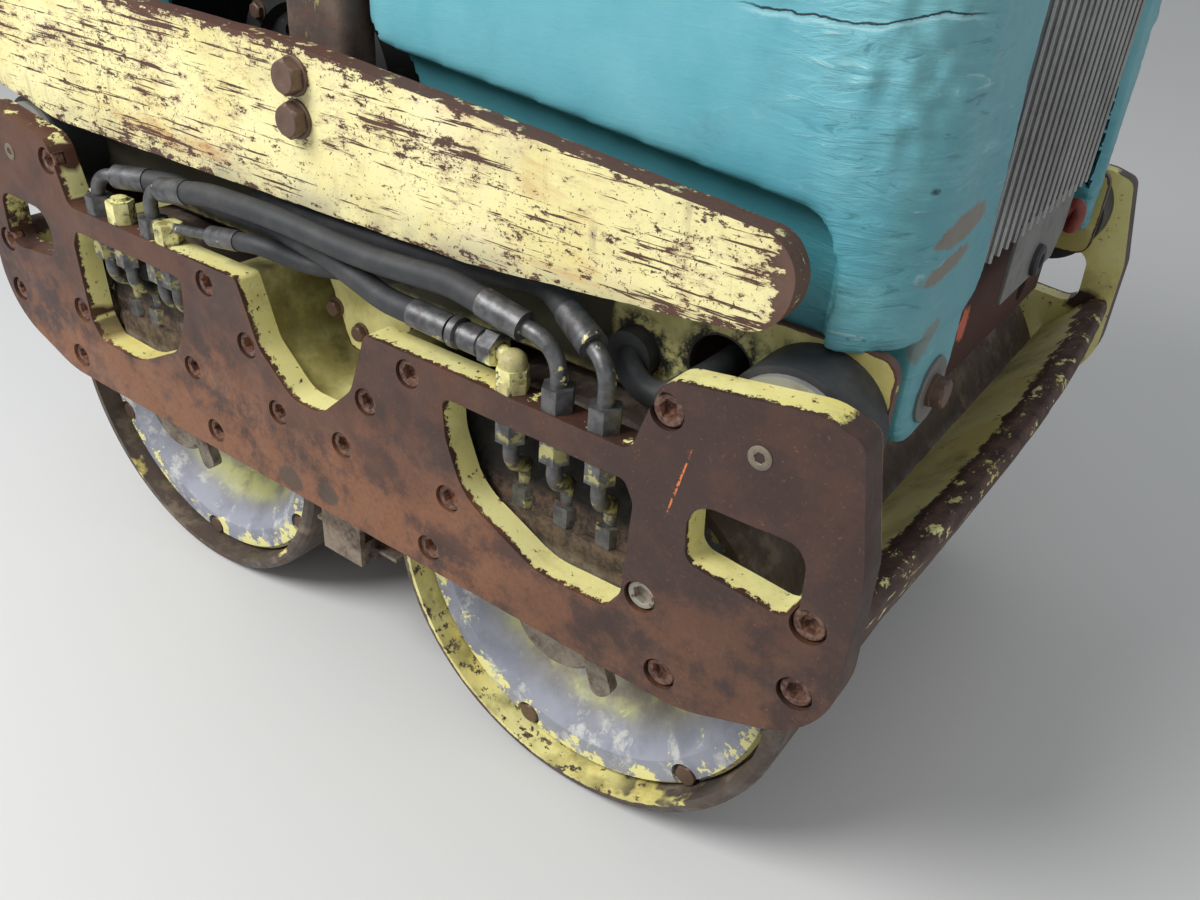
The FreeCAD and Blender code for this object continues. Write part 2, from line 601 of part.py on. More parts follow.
sleeveEnds = {}
fittings = []
for name, x, rise, slope, inboard, run, bare, sleeve in elbowTable:
    corner = V(x, stripY, stripZ + rise)
    level = math.cos(math.radians(slope))
    aim = V(level * math.cos(math.radians(inboard)), abs(level) * math.sin(math.radians(inboard)),
            math.sin(math.radians(slope)))
    tubeEnd = corner + aim * run
    sleeveEnd = tubeEnd + aim * sleeveLength
    sleeveEnds[name] = (sleeveEnd, aim)
    fittings.append(fuse([
        pipe([(x, stripY, stripZ + 6), tuple(corner), tuple(tubeEnd + aim * 5)], bare, 0.6),
        rod(tubeRadius, (x, stripY, drumTop - 30), (x, stripY, stripZ + 8)),
        rod(sleeve, tuple(tubeEnd), tuple(sleeveEnd)),
        hexagon(nutFlats, nutHeight, (x, stripY, stripZ), (0, 0, 1))] + lowerFitting(x)))
plugX = -axleX + rearFittings[1]
plug = [hexagon(nutFlats, nutHeight + 3, (plugX, stripY, stripZ), (0, 0, 1)),
        rod(7, (plugX, stripY, drumTop - 30), (plugX, stripY, stripZ + 24))]
fittings.append(fuse(plug + lowerFitting(plugX)))
nodes["fittings_right"] = Part.makeCompound(fittings)
nodes["fittings_left"] = leftOf(nodes["fittings_right"])

# Hydraulic hoses: start fitting, middle points as x, distance inboard of the strip and height over it,
# end fitting
hoseLead = 30.0
hoseTable = [("rearInner", [(-30, 1, 62), (70, 0, 57)], "frontMiddle"),
             ("rearOuter", [(-110, 19, 42), (-10, 17, 42)], "frontInner")]


def hoseLeads(name):
    """A hose's first two points, in line with its sleeve."""
    end, aim = sleeveEnds[name]
    return [tuple(end), tuple(end + aim * hoseLead)]


def hoseHole(index, outside):
    """Points through a hole of the frame's side, from inside it to some way outside."""
    x, height, radius = hoseHoles[index]
    return [(x, -frameInner + 14, drumTop + height), (x, -frameOuter - outside, drumTop + height)]


hoses = []
for first, middle, last in hoseTable:
    points = [(x, stripY + dy, stripZ + dz) for x, dy, dz in middle]
    hoses.append(pipe(hoseLeads(first) + points + hoseLeads(last)[::-1], hoseRadius))
longMiddle = [(-60, stripY + 33, drumTop + 67), (30, stripY + 26, drumTop + 70),
              (130, stripY + 28, drumTop + 73)]
hoses.append(pipe(hoseHole(2, 14) + longMiddle + hoseLeads("frontOuter")[::-1], hoseRadius))
hoses.append(pipe(hoseHole(3, 20) + [(-20, stripY + 16, drumTop + 30)] + hoseLeads("rearSmall")[::-1], 8.0))
loopMiddle = [(axleX + 58, -frameOuter - 26, drumTop + 20)]
loop = pipe(hoseHole(0, 20) + loopMiddle + hoseHole(1, 18)[::-1], hoseRadius)
bootX, bootHeight, bootHole = hoseHoles[0]
bootGap = 0.3
hoses.append(fuse([loop, rod(bootHole - bootGap, (bootX, -frameInner, drumTop + bootHeight),
                             (bootX, -frameOuter - 12, drumTop + bootHeight))]))
nodes["hoses_right"] = Part.makeCompound(hoses)
nodes["hoses_left"] = leftOf(nodes["hoses_right"])

# Drawbar at the rear, tilting about a cross pin
bracketY = drawbarHalf + 12.0
pinGap = 0.05
bracketCorners = [(-crossOuter, bufferZ + 6, 0), (-crossOuter, drumTop + 100, 0),
                  (pivotX + 15, pivotZ + 43, 26), (pivotX - 29, pivotZ + 23, 26),
                  (pivotX - 27, pivotZ - 25, 26),
                  (-plateEnd, bufferZ + 15, 30), (-plateEnd + 30, bufferZ + 6, 10)]
bracket = slab(bracketCorners, bracketY, bracketY + 12)
bracket = bracket.cut(rod(pivotPin + pinGap, (pivotX, bracketY - 5, pivotZ), (pivotX, bracketY + 20, pivotZ)))
nodes["drawbar_bracket"] = bothSides(bracket)
pin = rod(pivotPin, (pivotX, -bracketY - 24, pivotZ), (pivotX, bracketY + 24, pivotZ))
barHalf = 25.0
barWall = 6.0
sideInner = drawbarHalf - barWall
topInner = barHalf - barWall
bar = box(-drawbarLength, drawbarHalf, -drawbarHalf, drawbarHalf, -barHalf, barHalf)
bar = bar.cut(box(-drawbarLength - 1, -drawbarHalf, -sideInner, sideInner, -topInner, topInner))
console = slab([(-drawbarLength - 20, barHalf, 8), (-drawbarLength + 150, barHalf, 8),
                (-drawbarLength + 130, barHalf + 62, 24), (-drawbarLength + 10, barHalf + 74, 24)], -70, 70)
leverX = -drawbarLength + 70.0
lever = fuse([rod(7, (leverX, 0, barHalf + 60), (leverX, 0, barHalf + 145)),
              Part.makeSphere(17, V(leverX, 0, barHalf + 155))]).cut(console)
for piece in (bar, console, lever):
    piece.rotate(V(0, 0, 0), V(0, 1, 0), drawbarAngle)
    piece.translate(V(pivotX, 0, pivotZ))
nodes["drawbar"] = fuse([bar, pin])
nodes["console"] = console
nodes["travel_lever"] = lever
loopX = headX + 60.0
loopZ = headZ - 32.0
loopRoot = drawbarHalf + 0.2
loopRight = [(loopX, -loopRoot, loopZ), (loopX, -gripHalf, loopZ), (gripX, -gripHalf, headZ)]
loopLeft = [(gripX, gripHalf, headZ), (loopX, gripHalf, loopZ), (loopX, loopRoot, loopZ)]
nodes["handle_loop"] = pipe(loopRight + loopLeft, gripRadius, 0.14)

os.makedirs("parts", exist_ok=True)
for name, shape in nodes.items():
    shape.translate(V(originShift, 0, 0))
    shape.exportStep("parts/%s.step" % name)
    bound = shape.BoundBox
    print("%-26s X %8.1f %8.1f  Y %8.1f %8.1f  Z %8.1f %8.1f  solids %d valid %s" % (
        name, bound.XMin, bound.XMax, bound.YMin, bound.YMax, bound.ZMin, bound.ZMax,
        len(shape.Solids), shape.isValid()))
print("shift", originShift, "head", headX, headZ)
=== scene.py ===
import math
import time

import bmesh
import bpy
import numpy as np
from mathutils import Matrix, Vector, geometry, kdtree, noise


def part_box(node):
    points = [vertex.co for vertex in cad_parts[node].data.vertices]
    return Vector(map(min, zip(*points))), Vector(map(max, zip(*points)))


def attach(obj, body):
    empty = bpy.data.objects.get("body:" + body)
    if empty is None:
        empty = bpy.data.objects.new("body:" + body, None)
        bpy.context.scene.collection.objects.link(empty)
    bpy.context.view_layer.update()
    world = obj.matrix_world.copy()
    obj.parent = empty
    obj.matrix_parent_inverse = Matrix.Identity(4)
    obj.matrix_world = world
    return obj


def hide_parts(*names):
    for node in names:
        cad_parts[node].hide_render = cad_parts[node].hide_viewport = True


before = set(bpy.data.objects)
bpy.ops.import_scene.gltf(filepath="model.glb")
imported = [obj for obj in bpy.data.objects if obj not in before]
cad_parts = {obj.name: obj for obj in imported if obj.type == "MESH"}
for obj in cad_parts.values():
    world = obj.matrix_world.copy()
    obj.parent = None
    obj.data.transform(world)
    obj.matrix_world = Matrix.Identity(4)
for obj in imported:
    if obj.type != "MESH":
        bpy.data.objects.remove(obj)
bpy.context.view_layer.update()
scene = bpy.context.scene
print("frame loaded:", len(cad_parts), "nodes")


def centreOf(node):
    low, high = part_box(node)
    return (low + high) / 2


frontAxle = centreOf("drum_front_shell")
rearAxle = centreOf("drum_rear_shell")
middleX = (frontAxle.x + rearAxle.x) / 2
outerY = -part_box("side_plate_right")[0].y


def at(x, y, z):
    # a place in millimetres, measured from midway between the drums, in the frame's metres
    return Vector((middleX + x / 1000, y / 1000, z / 1000))


def linked(name, data):
    thing = bpy.data.objects.new(name, data)
    scene.collection.objects.link(thing)
    return thing


# camera: place and angles of the photograph
shot = {"place": (622.6, -834.6, 757.8), "azimuth": 33.678, "elevation": 31.969, "roll": 4.4157, "lens": 30.3}


def addCamera():
    azimuth, elevation, roll = (math.radians(shot[k]) for k in ("azimuth", "elevation", "roll"))
    back = Vector((math.sin(azimuth) * math.cos(elevation), -math.cos(azimuth) * math.cos(elevation),
                   math.sin(elevation)))
    across = (-back).cross(Vector((0, 0, 1))).normalized()
    upward = across.cross(-back)
    right = across * math.cos(roll) + upward * math.sin(roll)
    top = upward * math.cos(roll) - across * math.sin(roll)
    data = bpy.data.cameras.new("photoCamera")
    data.lens = shot["lens"]
    data.sensor_width = 36
    data.clip_end = 50
    scene.camera = linked("photoCamera", data)
    turn = Matrix((right, top, back)).transposed().to_4x4()
    scene.camera.matrix_world = Matrix.Translation(at(*shot["place"])) @ turn


studio = {
    "sky": (0.93, 0.96, 1.0, 1), "level": 0.47, "target": (0, 0, 450),
    # place, power and size of each lamp
    "lamps": {"keyLamp": ((-900, -1900, 2300), 78, 1.5), "fillLamp": ((2300, -700, 1500), 4, 2.2)}}


def addLamp(name, place, target, power, size):
    data = bpy.data.lights.new(name, "AREA")
    data.energy = power
    data.shape = "DISK"
    data.size = size
    lamp = linked(name, data)
    lamp.location = place
    lamp.rotation_euler = (target - place).to_track_quat("-Z", "Y").to_euler()


def addStudio():
    world = bpy.data.worlds.new("studio")
    world.use_nodes = True
    background = world.node_tree.nodes["Background"].inputs
    background["Color"].default_value = studio["sky"]
    background["Strength"].default_value = studio["level"]
    scene.world = world
    for name, (place, power, size) in studio["lamps"].items():
        addLamp(name, at(*place), at(*studio["target"]), power, size)
    scene.view_settings.view_transform = "Standard"


addCamera()
addStudio()
print("camera and studio in place")


def rgb(red, green, blue):
    # display colour, 0 to 255, as the linear colour that the shader takes
    return tuple(c / 12.92 if c <= 0.04045 else ((c + 0.055) / 1.055) ** 2.4
                 for c in (red / 255, green / 255, blue / 255))


tones = {
    "primrose": rgb(236, 229, 158), "primroseDeep": rgb(222, 206, 118), "primroseDirty": rgb(150, 140, 84),
    "rustDark": rgb(72, 44, 39), "rustRed": rgb(104, 58, 44), "rustOrange": rgb(158, 98, 66),
    "chipBrown": rgb(84, 56, 44), "turquoise": rgb(84, 158, 172), "turquoisePale": rgb(122, 186, 194),
    "turquoiseHollowShade": rgb(46, 108, 118), "dirt": rgb(64, 56, 46), "discGrey": rgb(150, 152, 164),
    "steelDark": rgb(74, 66, 60), "rubber": rgb(44, 45, 48), "zinc": rgb(104, 104, 104), "copper": rgb(188, 130, 96),
    "maroon": rgb(56, 38, 32), "rustBrown": rgb(92, 58, 41), "rustTan": rgb(150, 98, 62), "olive": rgb(116, 108, 62),
    "freshRust": rgb(214, 116, 62), "postBrown": rgb(96, 78, 66)}


class Field:
    # a node's output that sums can be written with: each sum is one more Math node

    def __init__(self, finish, socket):
        self.finish = finish
        self.socket = socket

    def __add__(self, other):
        return self.finish.calc("ADD", self, other)

    def __sub__(self, other):
        return self.finish.calc("SUBTRACT", self, other)

    def __rsub__(self, other):
        return self.finish.calc("SUBTRACT", other, self)

    def __mul__(self, other):
        return self.finish.calc("MULTIPLY", self, other)

    def __truediv__(self, other):
        return self.finish.calc("DIVIDE", self, other)

    def __pow__(self, other):
        return self.finish.calc("POWER", self, other)

    def __abs__(self):
        return self.finish.calc("ABSOLUTE", self)


finishes = {}


class Finish:
    # one material and the few node patterns that its recipe repeats

    def __init__(self, name, roughness=0.6, metallic=0.0):
        self.material = bpy.data.materials.new(name)
        self.material.use_nodes = True
        self.tree = self.material.node_tree
        self.shader = self.tree.nodes["Principled BSDF"]
        self.shader.inputs["Roughness"].default_value = roughness
        self.shader.inputs["Metallic"].default_value = metallic
        self.place = self.add("ShaderNodeTexCoord", {}, "Object")

    def feed(self, socket, value):
        if isinstance(value, Field):
            self.tree.links.new(value.socket, socket)
        elif socket.type == "RGBA":
            socket.default_value = (*tones.get(value, value), 1)
        else:
            socket.default_value = value

    def node(self, kind, feeds, **settings):
        made = self.tree.nodes.new(kind)
        for key, value in settings.items():
            setattr(made, key, value)
        for key, value in feeds.items():
            self.feed(made.inputs[key], value)
        return made

    def add(self, kind, feeds, out=0, **settings):
        return Field(self, self.node(kind, feeds, **settings).outputs[out])

    def split(self, vector):
        return [Field(self, part) for part in self.node("ShaderNodeSeparateXYZ", {0: vector}).outputs]

    def calc(self, operation, first, second=0.0):
        return self.add("ShaderNodeMath", {0: first, 1: second}, operation=operation)

    def ramp(self, value, low, high):
        # 0 at low and 1 at high, smooth between; low may be the larger
        feeds = {"Value": value, "From Min": min(low, high), "From Max": max(low, high)}
        if low > high:
            feeds.update({"To Min": 1, "To Max": 0})
        return self.add("ShaderNodeMapRange", feeds, interpolation_type="SMOOTHSTEP")

    def noise(self, scale, detail=4.0, rough=0.55, stretch=(1, 1, 1), warp=0.0):
        vector = self.add("ShaderNodeMapping", {"Vector": self.place, "Scale": stretch})
        return self.add("ShaderNodeTexNoise", {"Vector": vector, "Scale": scale, "Detail": detail,
                                               "Roughness": rough, "Distortion": warp}, "Fac")

    def patches(self, low, high, *pattern):
        # ragged patches: the part of a noise above a level, or below it where low is the larger
        return self.ramp(self.noise(*pattern), low, high)

    def mix(self, share, first, second):
        return self.add("ShaderNodeMix", {"Factor": share, 6: first, 7: second}, 2, data_type="RGBA")

    def coats(self, base, *layers):
        # colours laid over one another, each with its share
        for share, colour in layers:
            base = self.mix(share, base, colour)
        return base

    def blend(self, share, first, second):
        # as mix, for plain numbers
        return self.add("ShaderNodeMix", {"Factor": share, 2: first, 3: second}, data_type="FLOAT")

    def axes(self):
        return self.split(self.place)

    def facing(self):
        return self.split(self.add("ShaderNodeNewGeometry", {}, "Normal"))

    def stored(self, name):
        return self.add("ShaderNodeAttribute", {}, "Fac", attribute_name=name)

    def spot(self, centre, size, turn=(0, 0, 0), rag=0.6, scale=70):
        # ragged patch: 1 inside an ellipsoid with these half sizes, centre and sizes in millimetres
        vector = self.add("ShaderNodeMapping", {
            "Vector": self.place, "Location": at(*centre), "Rotation": [math.radians(a) for a in turn],
            "Scale": [s / 1000 for s in size]}, vector_type="TEXTURE")
        reach = self.add("ShaderNodeVectorMath", {0: vector}, "Value", operation="LENGTH")
        return self.ramp(reach + (self.noise(scale, 5, 0.7) - 0.5) * (rag * 2), 1.1, 0.8)

    def most(self, *masks):
        total = masks[0]
        for mask in masks[1:]:
            total = self.calc("MAXIMUM", total, mask)
        return total

    def done(self, colour, roughness=None, relief=None, strength=0.5, distance=0.001, metallic=None):
        # gives the shader what the recipe came to and files the material
        if relief is not None:
            normal = self.add("ShaderNodeBump", {"Strength": strength, "Distance": distance, "Height": relief})
            self.feed(self.shader.inputs["Normal"], normal)
        for title, value in (("Base Color", colour), ("Roughness", roughness), ("Metallic", metallic)):
            if value is not None:
                self.feed(self.shader.inputs[title], value)
        finishes[self.material.name] = self.material


def rustColour(f):
    # brown rust in three scales, with a few orange blooms
    return f.coats(f.mix(f.patches(0.38, 0.66, 7, 5, 0.6), "rustDark", "rustRed"),
                   (f.patches(0.35, 0.7, 160, 5, 0.7) * 0.35, "rustDark"),
                   (f.patches(0.578, 0.79, 26, 6, 0.65) * 0.165, "rustOrange"))


def paintColour(f):
    # pale primrose paint, deeper in patches and grimy in places
    return f.coats(f.mix(f.patches(0.4, 0.7, 9, 4, 0.6), "primrose", "primroseDeep"),
                   (f.patches(0.5, 0.78, 14, 6, 0.7) * 0.6, "primroseDirty"))


def chipMask(f, edgeWidth, scale):
    # where paint is gone: ragged spots, and more of them close to an arris
    level = f.noise(scale, 6, 0.68) * 0.75 + f.noise(scale * 5, 3, 0.6) * 0.25
    level += (1 - f.ramp(f.stored("edge"), 0.0, edgeWidth)) * 0.45
    return f.ramp(level, 0.672, 0.692)


def makeWornPlate():
    # side plates: rust outside, primrose on the thickness and in the windows
    f = Finish("wornPlate", 0.7)
    x, y, z = f.axes()
    _, ny, nz = f.facing()
    depth = outerY - abs(y)
    ragged = (f.noise(130, 8, 0.75) - 0.4) * 0.026
    inward = f.ramp(abs(ny), 0.5, 0.8)
    outward = f.ramp(abs(ny), 0.85, 0.92) * f.ramp(depth, 0.0016, 0.001)
    inside = f.ramp(depth - ragged, 0.0012, 0.002) * (1 - outward)
    away = abs(x - middleX)
    ends = f.ramp(away + ragged, 0.462, 0.466)
    strip = f.ramp(away, 0.206, 0.222) * f.ramp(away, 0.345, 0.338)
    strip *= f.ramp(nz, 0.6, 0.8) * f.ramp(z, 0.396, 0.402)
    crown = f.ramp(nz, 0.4, 0.6) * f.ramp(x, middleX - 0.3, middleX - 0.33)
    dirty = f.most(strip * f.patches(0.64, 0.6, 45, 5, 0.65), crown * f.patches(0.6, 0.56, 38, 6, 0.7))
    bare = f.most((1 - inward) * ends, dirty, f.stored("bore"))
    painted = inside * (1 - bare) * f.patches(0.66, 0.62, 150, 6, 0.7)
    wander = (f.noise(6, 4, 0.6) - 0.5) * 0.5
    forward = f.ramp(x - middleX + wander, 0.12, 0.34)
    low = f.ramp(z + wander * 0.5, 0.36, 0.24)
    tan = f.ramp(f.noise(21, 7, 0.7) + low * 0.09, 0.47, 0.64) * f.blend(forward, 0.9, 0.42)
    stains = f.most(*[f.spot((x0, -357, z0), size, rag=0.5) for x0, z0, size in (
        (-34, 226, (17, 6, 13)), (16, 232, (15, 6, 12)), (-143, 232, (9, 6, 8)))],
        f.patches(0.64, 0.76, 15, 4, 0.6) * 0.6)
    scratch = f.spot((366, -357, 398), (0.9, 5, 28), (0, 13, 0), 0.75, 160) * f.patches(0.42, 0.48, 150, 5)
    rust = f.coats(f.mix(f.patches(0.36, 0.64, 9, 6, 0.62), "rustBrown", "maroon"), (forward, "maroon"),
                   (tan, f.mix(low * 0.7, "rustBrown", "rustTan")),
                   (f.patches(0.36, 0.7, 230, 6, 0.75) * 0.42, "rustDark"),
                   (f.patches(0.6, 0.72, 310, 4, 0.7) * 0.35, "rustTan"),
                   (stains * 0.75, "dirt"), (scratch, "freshRust"))
    pits = f.noise(420, 5, 0.7) * 0.5 + painted * 0.7 - scratch * 0.5
    f.done(f.mix(painted, rust, paintColour(f)), f.blend(painted, f.blend(f.noise(30, 6), 0.3, 0.76), 0.42), pits,
           0.55, 0.0012)


def makeGuardPaint():
    # guard bars: dense long scratches and chips through primrose, rust stains, brown top and worn front end
    f = Finish("guardPaint", 0.5)
    x, _, z = f.axes()
    nz = f.facing()[2]
    crowd = f.patches(0.32, 0.66, 13, 6, 0.66, (0.5, 1, 1.8))
    arris = f.ramp(f.stored("edge"), 0.010, 0.0)
    front = f.ramp(x + f.noise(60, 6, 0.7) * 0.05, middleX + 0.418, middleX + 0.442)
    lines = f.ramp(f.noise(360, 6, 0.62, (0.04, 1, 1), 0.15) + crowd * 0.1, 0.642, 0.658)
    level = f.noise(150, 9, 0.76, (0.42, 1, 1)) + crowd * 0.1 + arris * 0.1 + front * 0.24
    specks = f.ramp(f.noise(380, 5, 0.66) + crowd * 0.07, 0.655, 0.675)
    top = f.ramp(nz, 0.35, 0.7) * f.patches(0.34, 0.42, 60, 5)
    worn = f.most(lines, f.ramp(level, 0.640, 0.652), specks, top)
    rust = f.coats(f.mix(f.patches(0.42, 0.66, 38, 5, 0.7), "chipBrown", "rustBrown"),
                   (f.patches(0.4, 0.7, 300, 4) * 0.55, "rustDark"), (front * 0.5, rgb(112, 88, 74)))
    halo = f.ramp(level, 0.53, 0.6) * f.patches(0.42, 0.62, 17, 5, 0.6)
    runs = f.patches(0.57, 0.7, 70, 6, 0.7, (1, 1, 0.12)) * f.patches(0.45, 0.6, 8, 3)
    cream = f.blend(f.patches(0.48, 0.68, 10, 5, 0.6), 0.35, 0.8)
    slope = f.ramp(nz, -0.10, -0.40)
    grey = f.most(f.ramp(z, 0.52, 0.485), slope) * f.patches(0.3, 0.6, 20, 5)
    bleed = f.patches(0.5, 0.68, 34, 7, 0.68, (0.22, 1, 1), 0.4) * f.patches(0.46, 0.6, 4.5, 3)
    soot = slope * f.patches(0.46, 0.62, 26, 6, 0.7, (0.3, 1, 1))
    paint = f.coats(paintColour(f), (halo * 0.6, "rustTan"), (runs * 0.7, "rustBrown"), (cream, rgb(240, 228, 184)),
                    (grey, rgb(176, 168, 132)), (bleed * 0.75, rgb(186, 122, 62)), (soot * 0.7, rgb(92, 82, 66)))
    f.done(f.mix(worn, paint, rust), f.blend(worn, 0.36, 0.72), f.noise(380, 4) * 0.35 - worn, 0.6, 0.0009)


def makeBumper():
    # bumpers: stained primrose on the slope, brown nose with primrose left on it
    f = Finish("bumperPaint", 0.5)
    x, y, z = f.axes()
    share = y / (outerY - 0.025)
    reach = abs(x - middleX) - (1 - share * share) * 0.0145
    ragged = (f.noise(48, 7, 0.72) - 0.5) * 0.034
    kept = f.patches(0.58, 0.6, 75, 7, 0.72, (1, 0.6, 1)) * f.ramp(z, 0.302, 0.318)
    nose = f.ramp(reach + ragged, 0.4685, 0.4705) * (1 - kept)
    worn = f.most(nose, f.patches(0.655, 0.675, 100, 7, 0.7))
    paint = f.coats(paintColour(f), (f.patches(0.42, 0.66, 13, 6, 0.66) * 0.45, "olive"),
                    (f.patches(0.58, 0.72, 30, 6, 0.7) * 0.7, rgb(72, 66, 44)))
    rust = f.coats(f.mix(f.patches(0.38, 0.66, 44, 6, 0.7), "maroon", rgb(98, 72, 60)),
                   (f.patches(0.4, 0.7, 260, 5) * 0.5, "rustDark"))
    f.done(f.mix(worn, paint, rust), f.blend(worn, f.blend(f.noise(30), 0.36, 0.6), 0.72),
           f.noise(300, 4) * 0.35 - worn, 0.55, 0.001)


def makeTrough():
    # cross-member: primrose under olive grime, made heavier higher up as painted shade, with stains
    f = Finish("troughPaint", 0.5)
    worn = chipMask(f, 0.004, 70)
    # olive grime in patches, heavier higher up as painted shade on the trough's upper walls
    grimeAndShade = f.patches(0.3, 0.62, 9, 6, 0.66) * f.blend(f.ramp(f.axes()[2], 0.25, 0.40), 0.55, 0.95)
    soot = f.patches(0.52, 0.72, 21, 6, 0.7, (1, 1, 0.6))
    paint = f.coats(paintColour(f), (grimeAndShade, "olive"), (soot * 0.65, rgb(70, 66, 44)))
    f.done(f.mix(worn, paint, "chipBrown"), f.blend(grimeAndShade, 0.4, 0.68), f.noise(240, 4) * 0.4 - worn, 0.4, 0.0009)


def makePost():
    # lifting frame: grey-brown rust with some primrose left
    f = Finish("postRust", 0.7)
    base = f.coats(f.mix(f.patches(0.38, 0.64, 14, 6, 0.65), "postBrown", rgb(64, 50, 44)),
                   (f.patches(0.5, 0.72, 60, 6, 0.7) * 0.6, "rustBrown"))
    kept = f.patches(0.6, 0.62, 70, 7, 0.72, (1, 1, 0.5)) * f.patches(0.46, 0.56, 9, 3)
    f.done(f.mix(kept, base, "primroseDirty"), f.blend(f.noise(50), 0.5, 0.8), f.noise(260, 6, 0.75) + kept,
           0.5, 0.001)


def makeFramePaint():
    # upper frame: primrose under soot, black soot around the hoses' holes, and painted shade that makes it nearly black
    # behind the hoses
    f = Finish("framePaint", 0.55)
    x, y, z = f.axes()
    worn = chipMask(f, 0.003, 80)
    paint = f.mix(f.patches(0.35, 0.62, 9, 5, 0.6) * 0.55, paintColour(f), "olive")
    edge = (f.noise(40, 6, 0.7) - 0.5) * 0.02
    # painted shade: the frame side behind the hoses is made nearly black
    behind = f.ramp(x - middleX + edge, 0.262, 0.256) * f.ramp(z + edge, 0.402, 0.416)
    behind *= f.ramp(abs(y), 0.262, 0.27)
    soot = f.most(*[f.spot((cx, sy * 283, cz), (34, 16, 34), rag=0.9, scale=30) for cx, cz in ((278, 440), (343, 452))
                    for sy in (1, -1)])
    soot *= f.patches(0.4, 0.56, 60, 6, 0.7)
    # dark: painted shade behind the hoses, soot around the holes and dark dirt patches
    dark = f.most(behind * 0.94, soot, f.patches(0.56, 0.7, 24, 6, 0.7) * 0.8)
    base = f.mix(worn, paint, "chipBrown")
    f.done(f.mix(dark, base, f.mix(f.noise(70, 5), rgb(24, 24, 24), rgb(48, 44, 40))), f.blend(dark, 0.45, 0.75),
           f.noise(300, 4) * 0.3 - worn, 0.45, 0.0008)


def makeDusty(name, base, dusting, share):
    # brown or grey steel under dried mud and dust, dark brown above a height with packed mud and painted shade
    f = Finish(name, 0.8)
    z = f.axes()[2]
    colour = f.mix(f.patches(0.36, 0.64, 18, 6, 0.66), base, "maroon")
    mud = f.patches(0.36, 0.6, 34, 7, 0.72)
    colour = f.coats(colour, (mud * share, dusting), (f.patches(0.5, 0.74, 240, 5, 0.7) * 0.5, "dirt"))
    # dark brown above a height: packed mud together with painted shade
    mudAndShade = f.mix(f.patches(0.38, 0.62, 70, 7, 0.75), rgb(38, 30, 24), rgb(98, 78, 60))
    colour = f.mix(f.ramp(z, 0.268, 0.28) * 0.92, colour, mudAndShade)
    f.done(colour, f.blend(f.noise(60), 0.6, 0.92), f.noise(150, 7, 0.75) + mud * 0.5, 0.5, 0.0014)


def makeWindowMudAndShade():
    # packed dirt behind the fittings: brown and crumbly low down, and near-black painted shade above it
    f = Finish("windowMud", 0.85)
    z = f.axes()[2]
    # the upper part is near-black painted shade, the lower part brown dirt
    high = f.ramp(z + f.noise(50, 5) * 0.03, 0.322, 0.34)
    brown = f.mix(f.patches(0.38, 0.62, 60, 8, 0.75), rgb(40, 31, 25), rgb(104, 82, 64))
    f.done(f.mix(high, brown, f.mix(f.noise(40, 6), rgb(9, 8, 7), rgb(26, 22, 17))), f.blend(f.noise(70), 0.6, 0.95),
           f.noise(180, 8, 0.8), 0.8, 0.003)


def makeRust():
    # front and rear cross plates: brown rust, with one fresh chip
    f = Finish("brownRust", 0.78)
    base = f.mix(0.55, rustColour(f), rgb(66, 46, 40))
    chip = f.spot((428, 2, 411), (6, 13, 17), rag=0.9)
    f.done(f.mix(chip, base, rgb(210, 112, 86)), None, f.noise(330, 6, 0.75), 0.6, 0.0012)


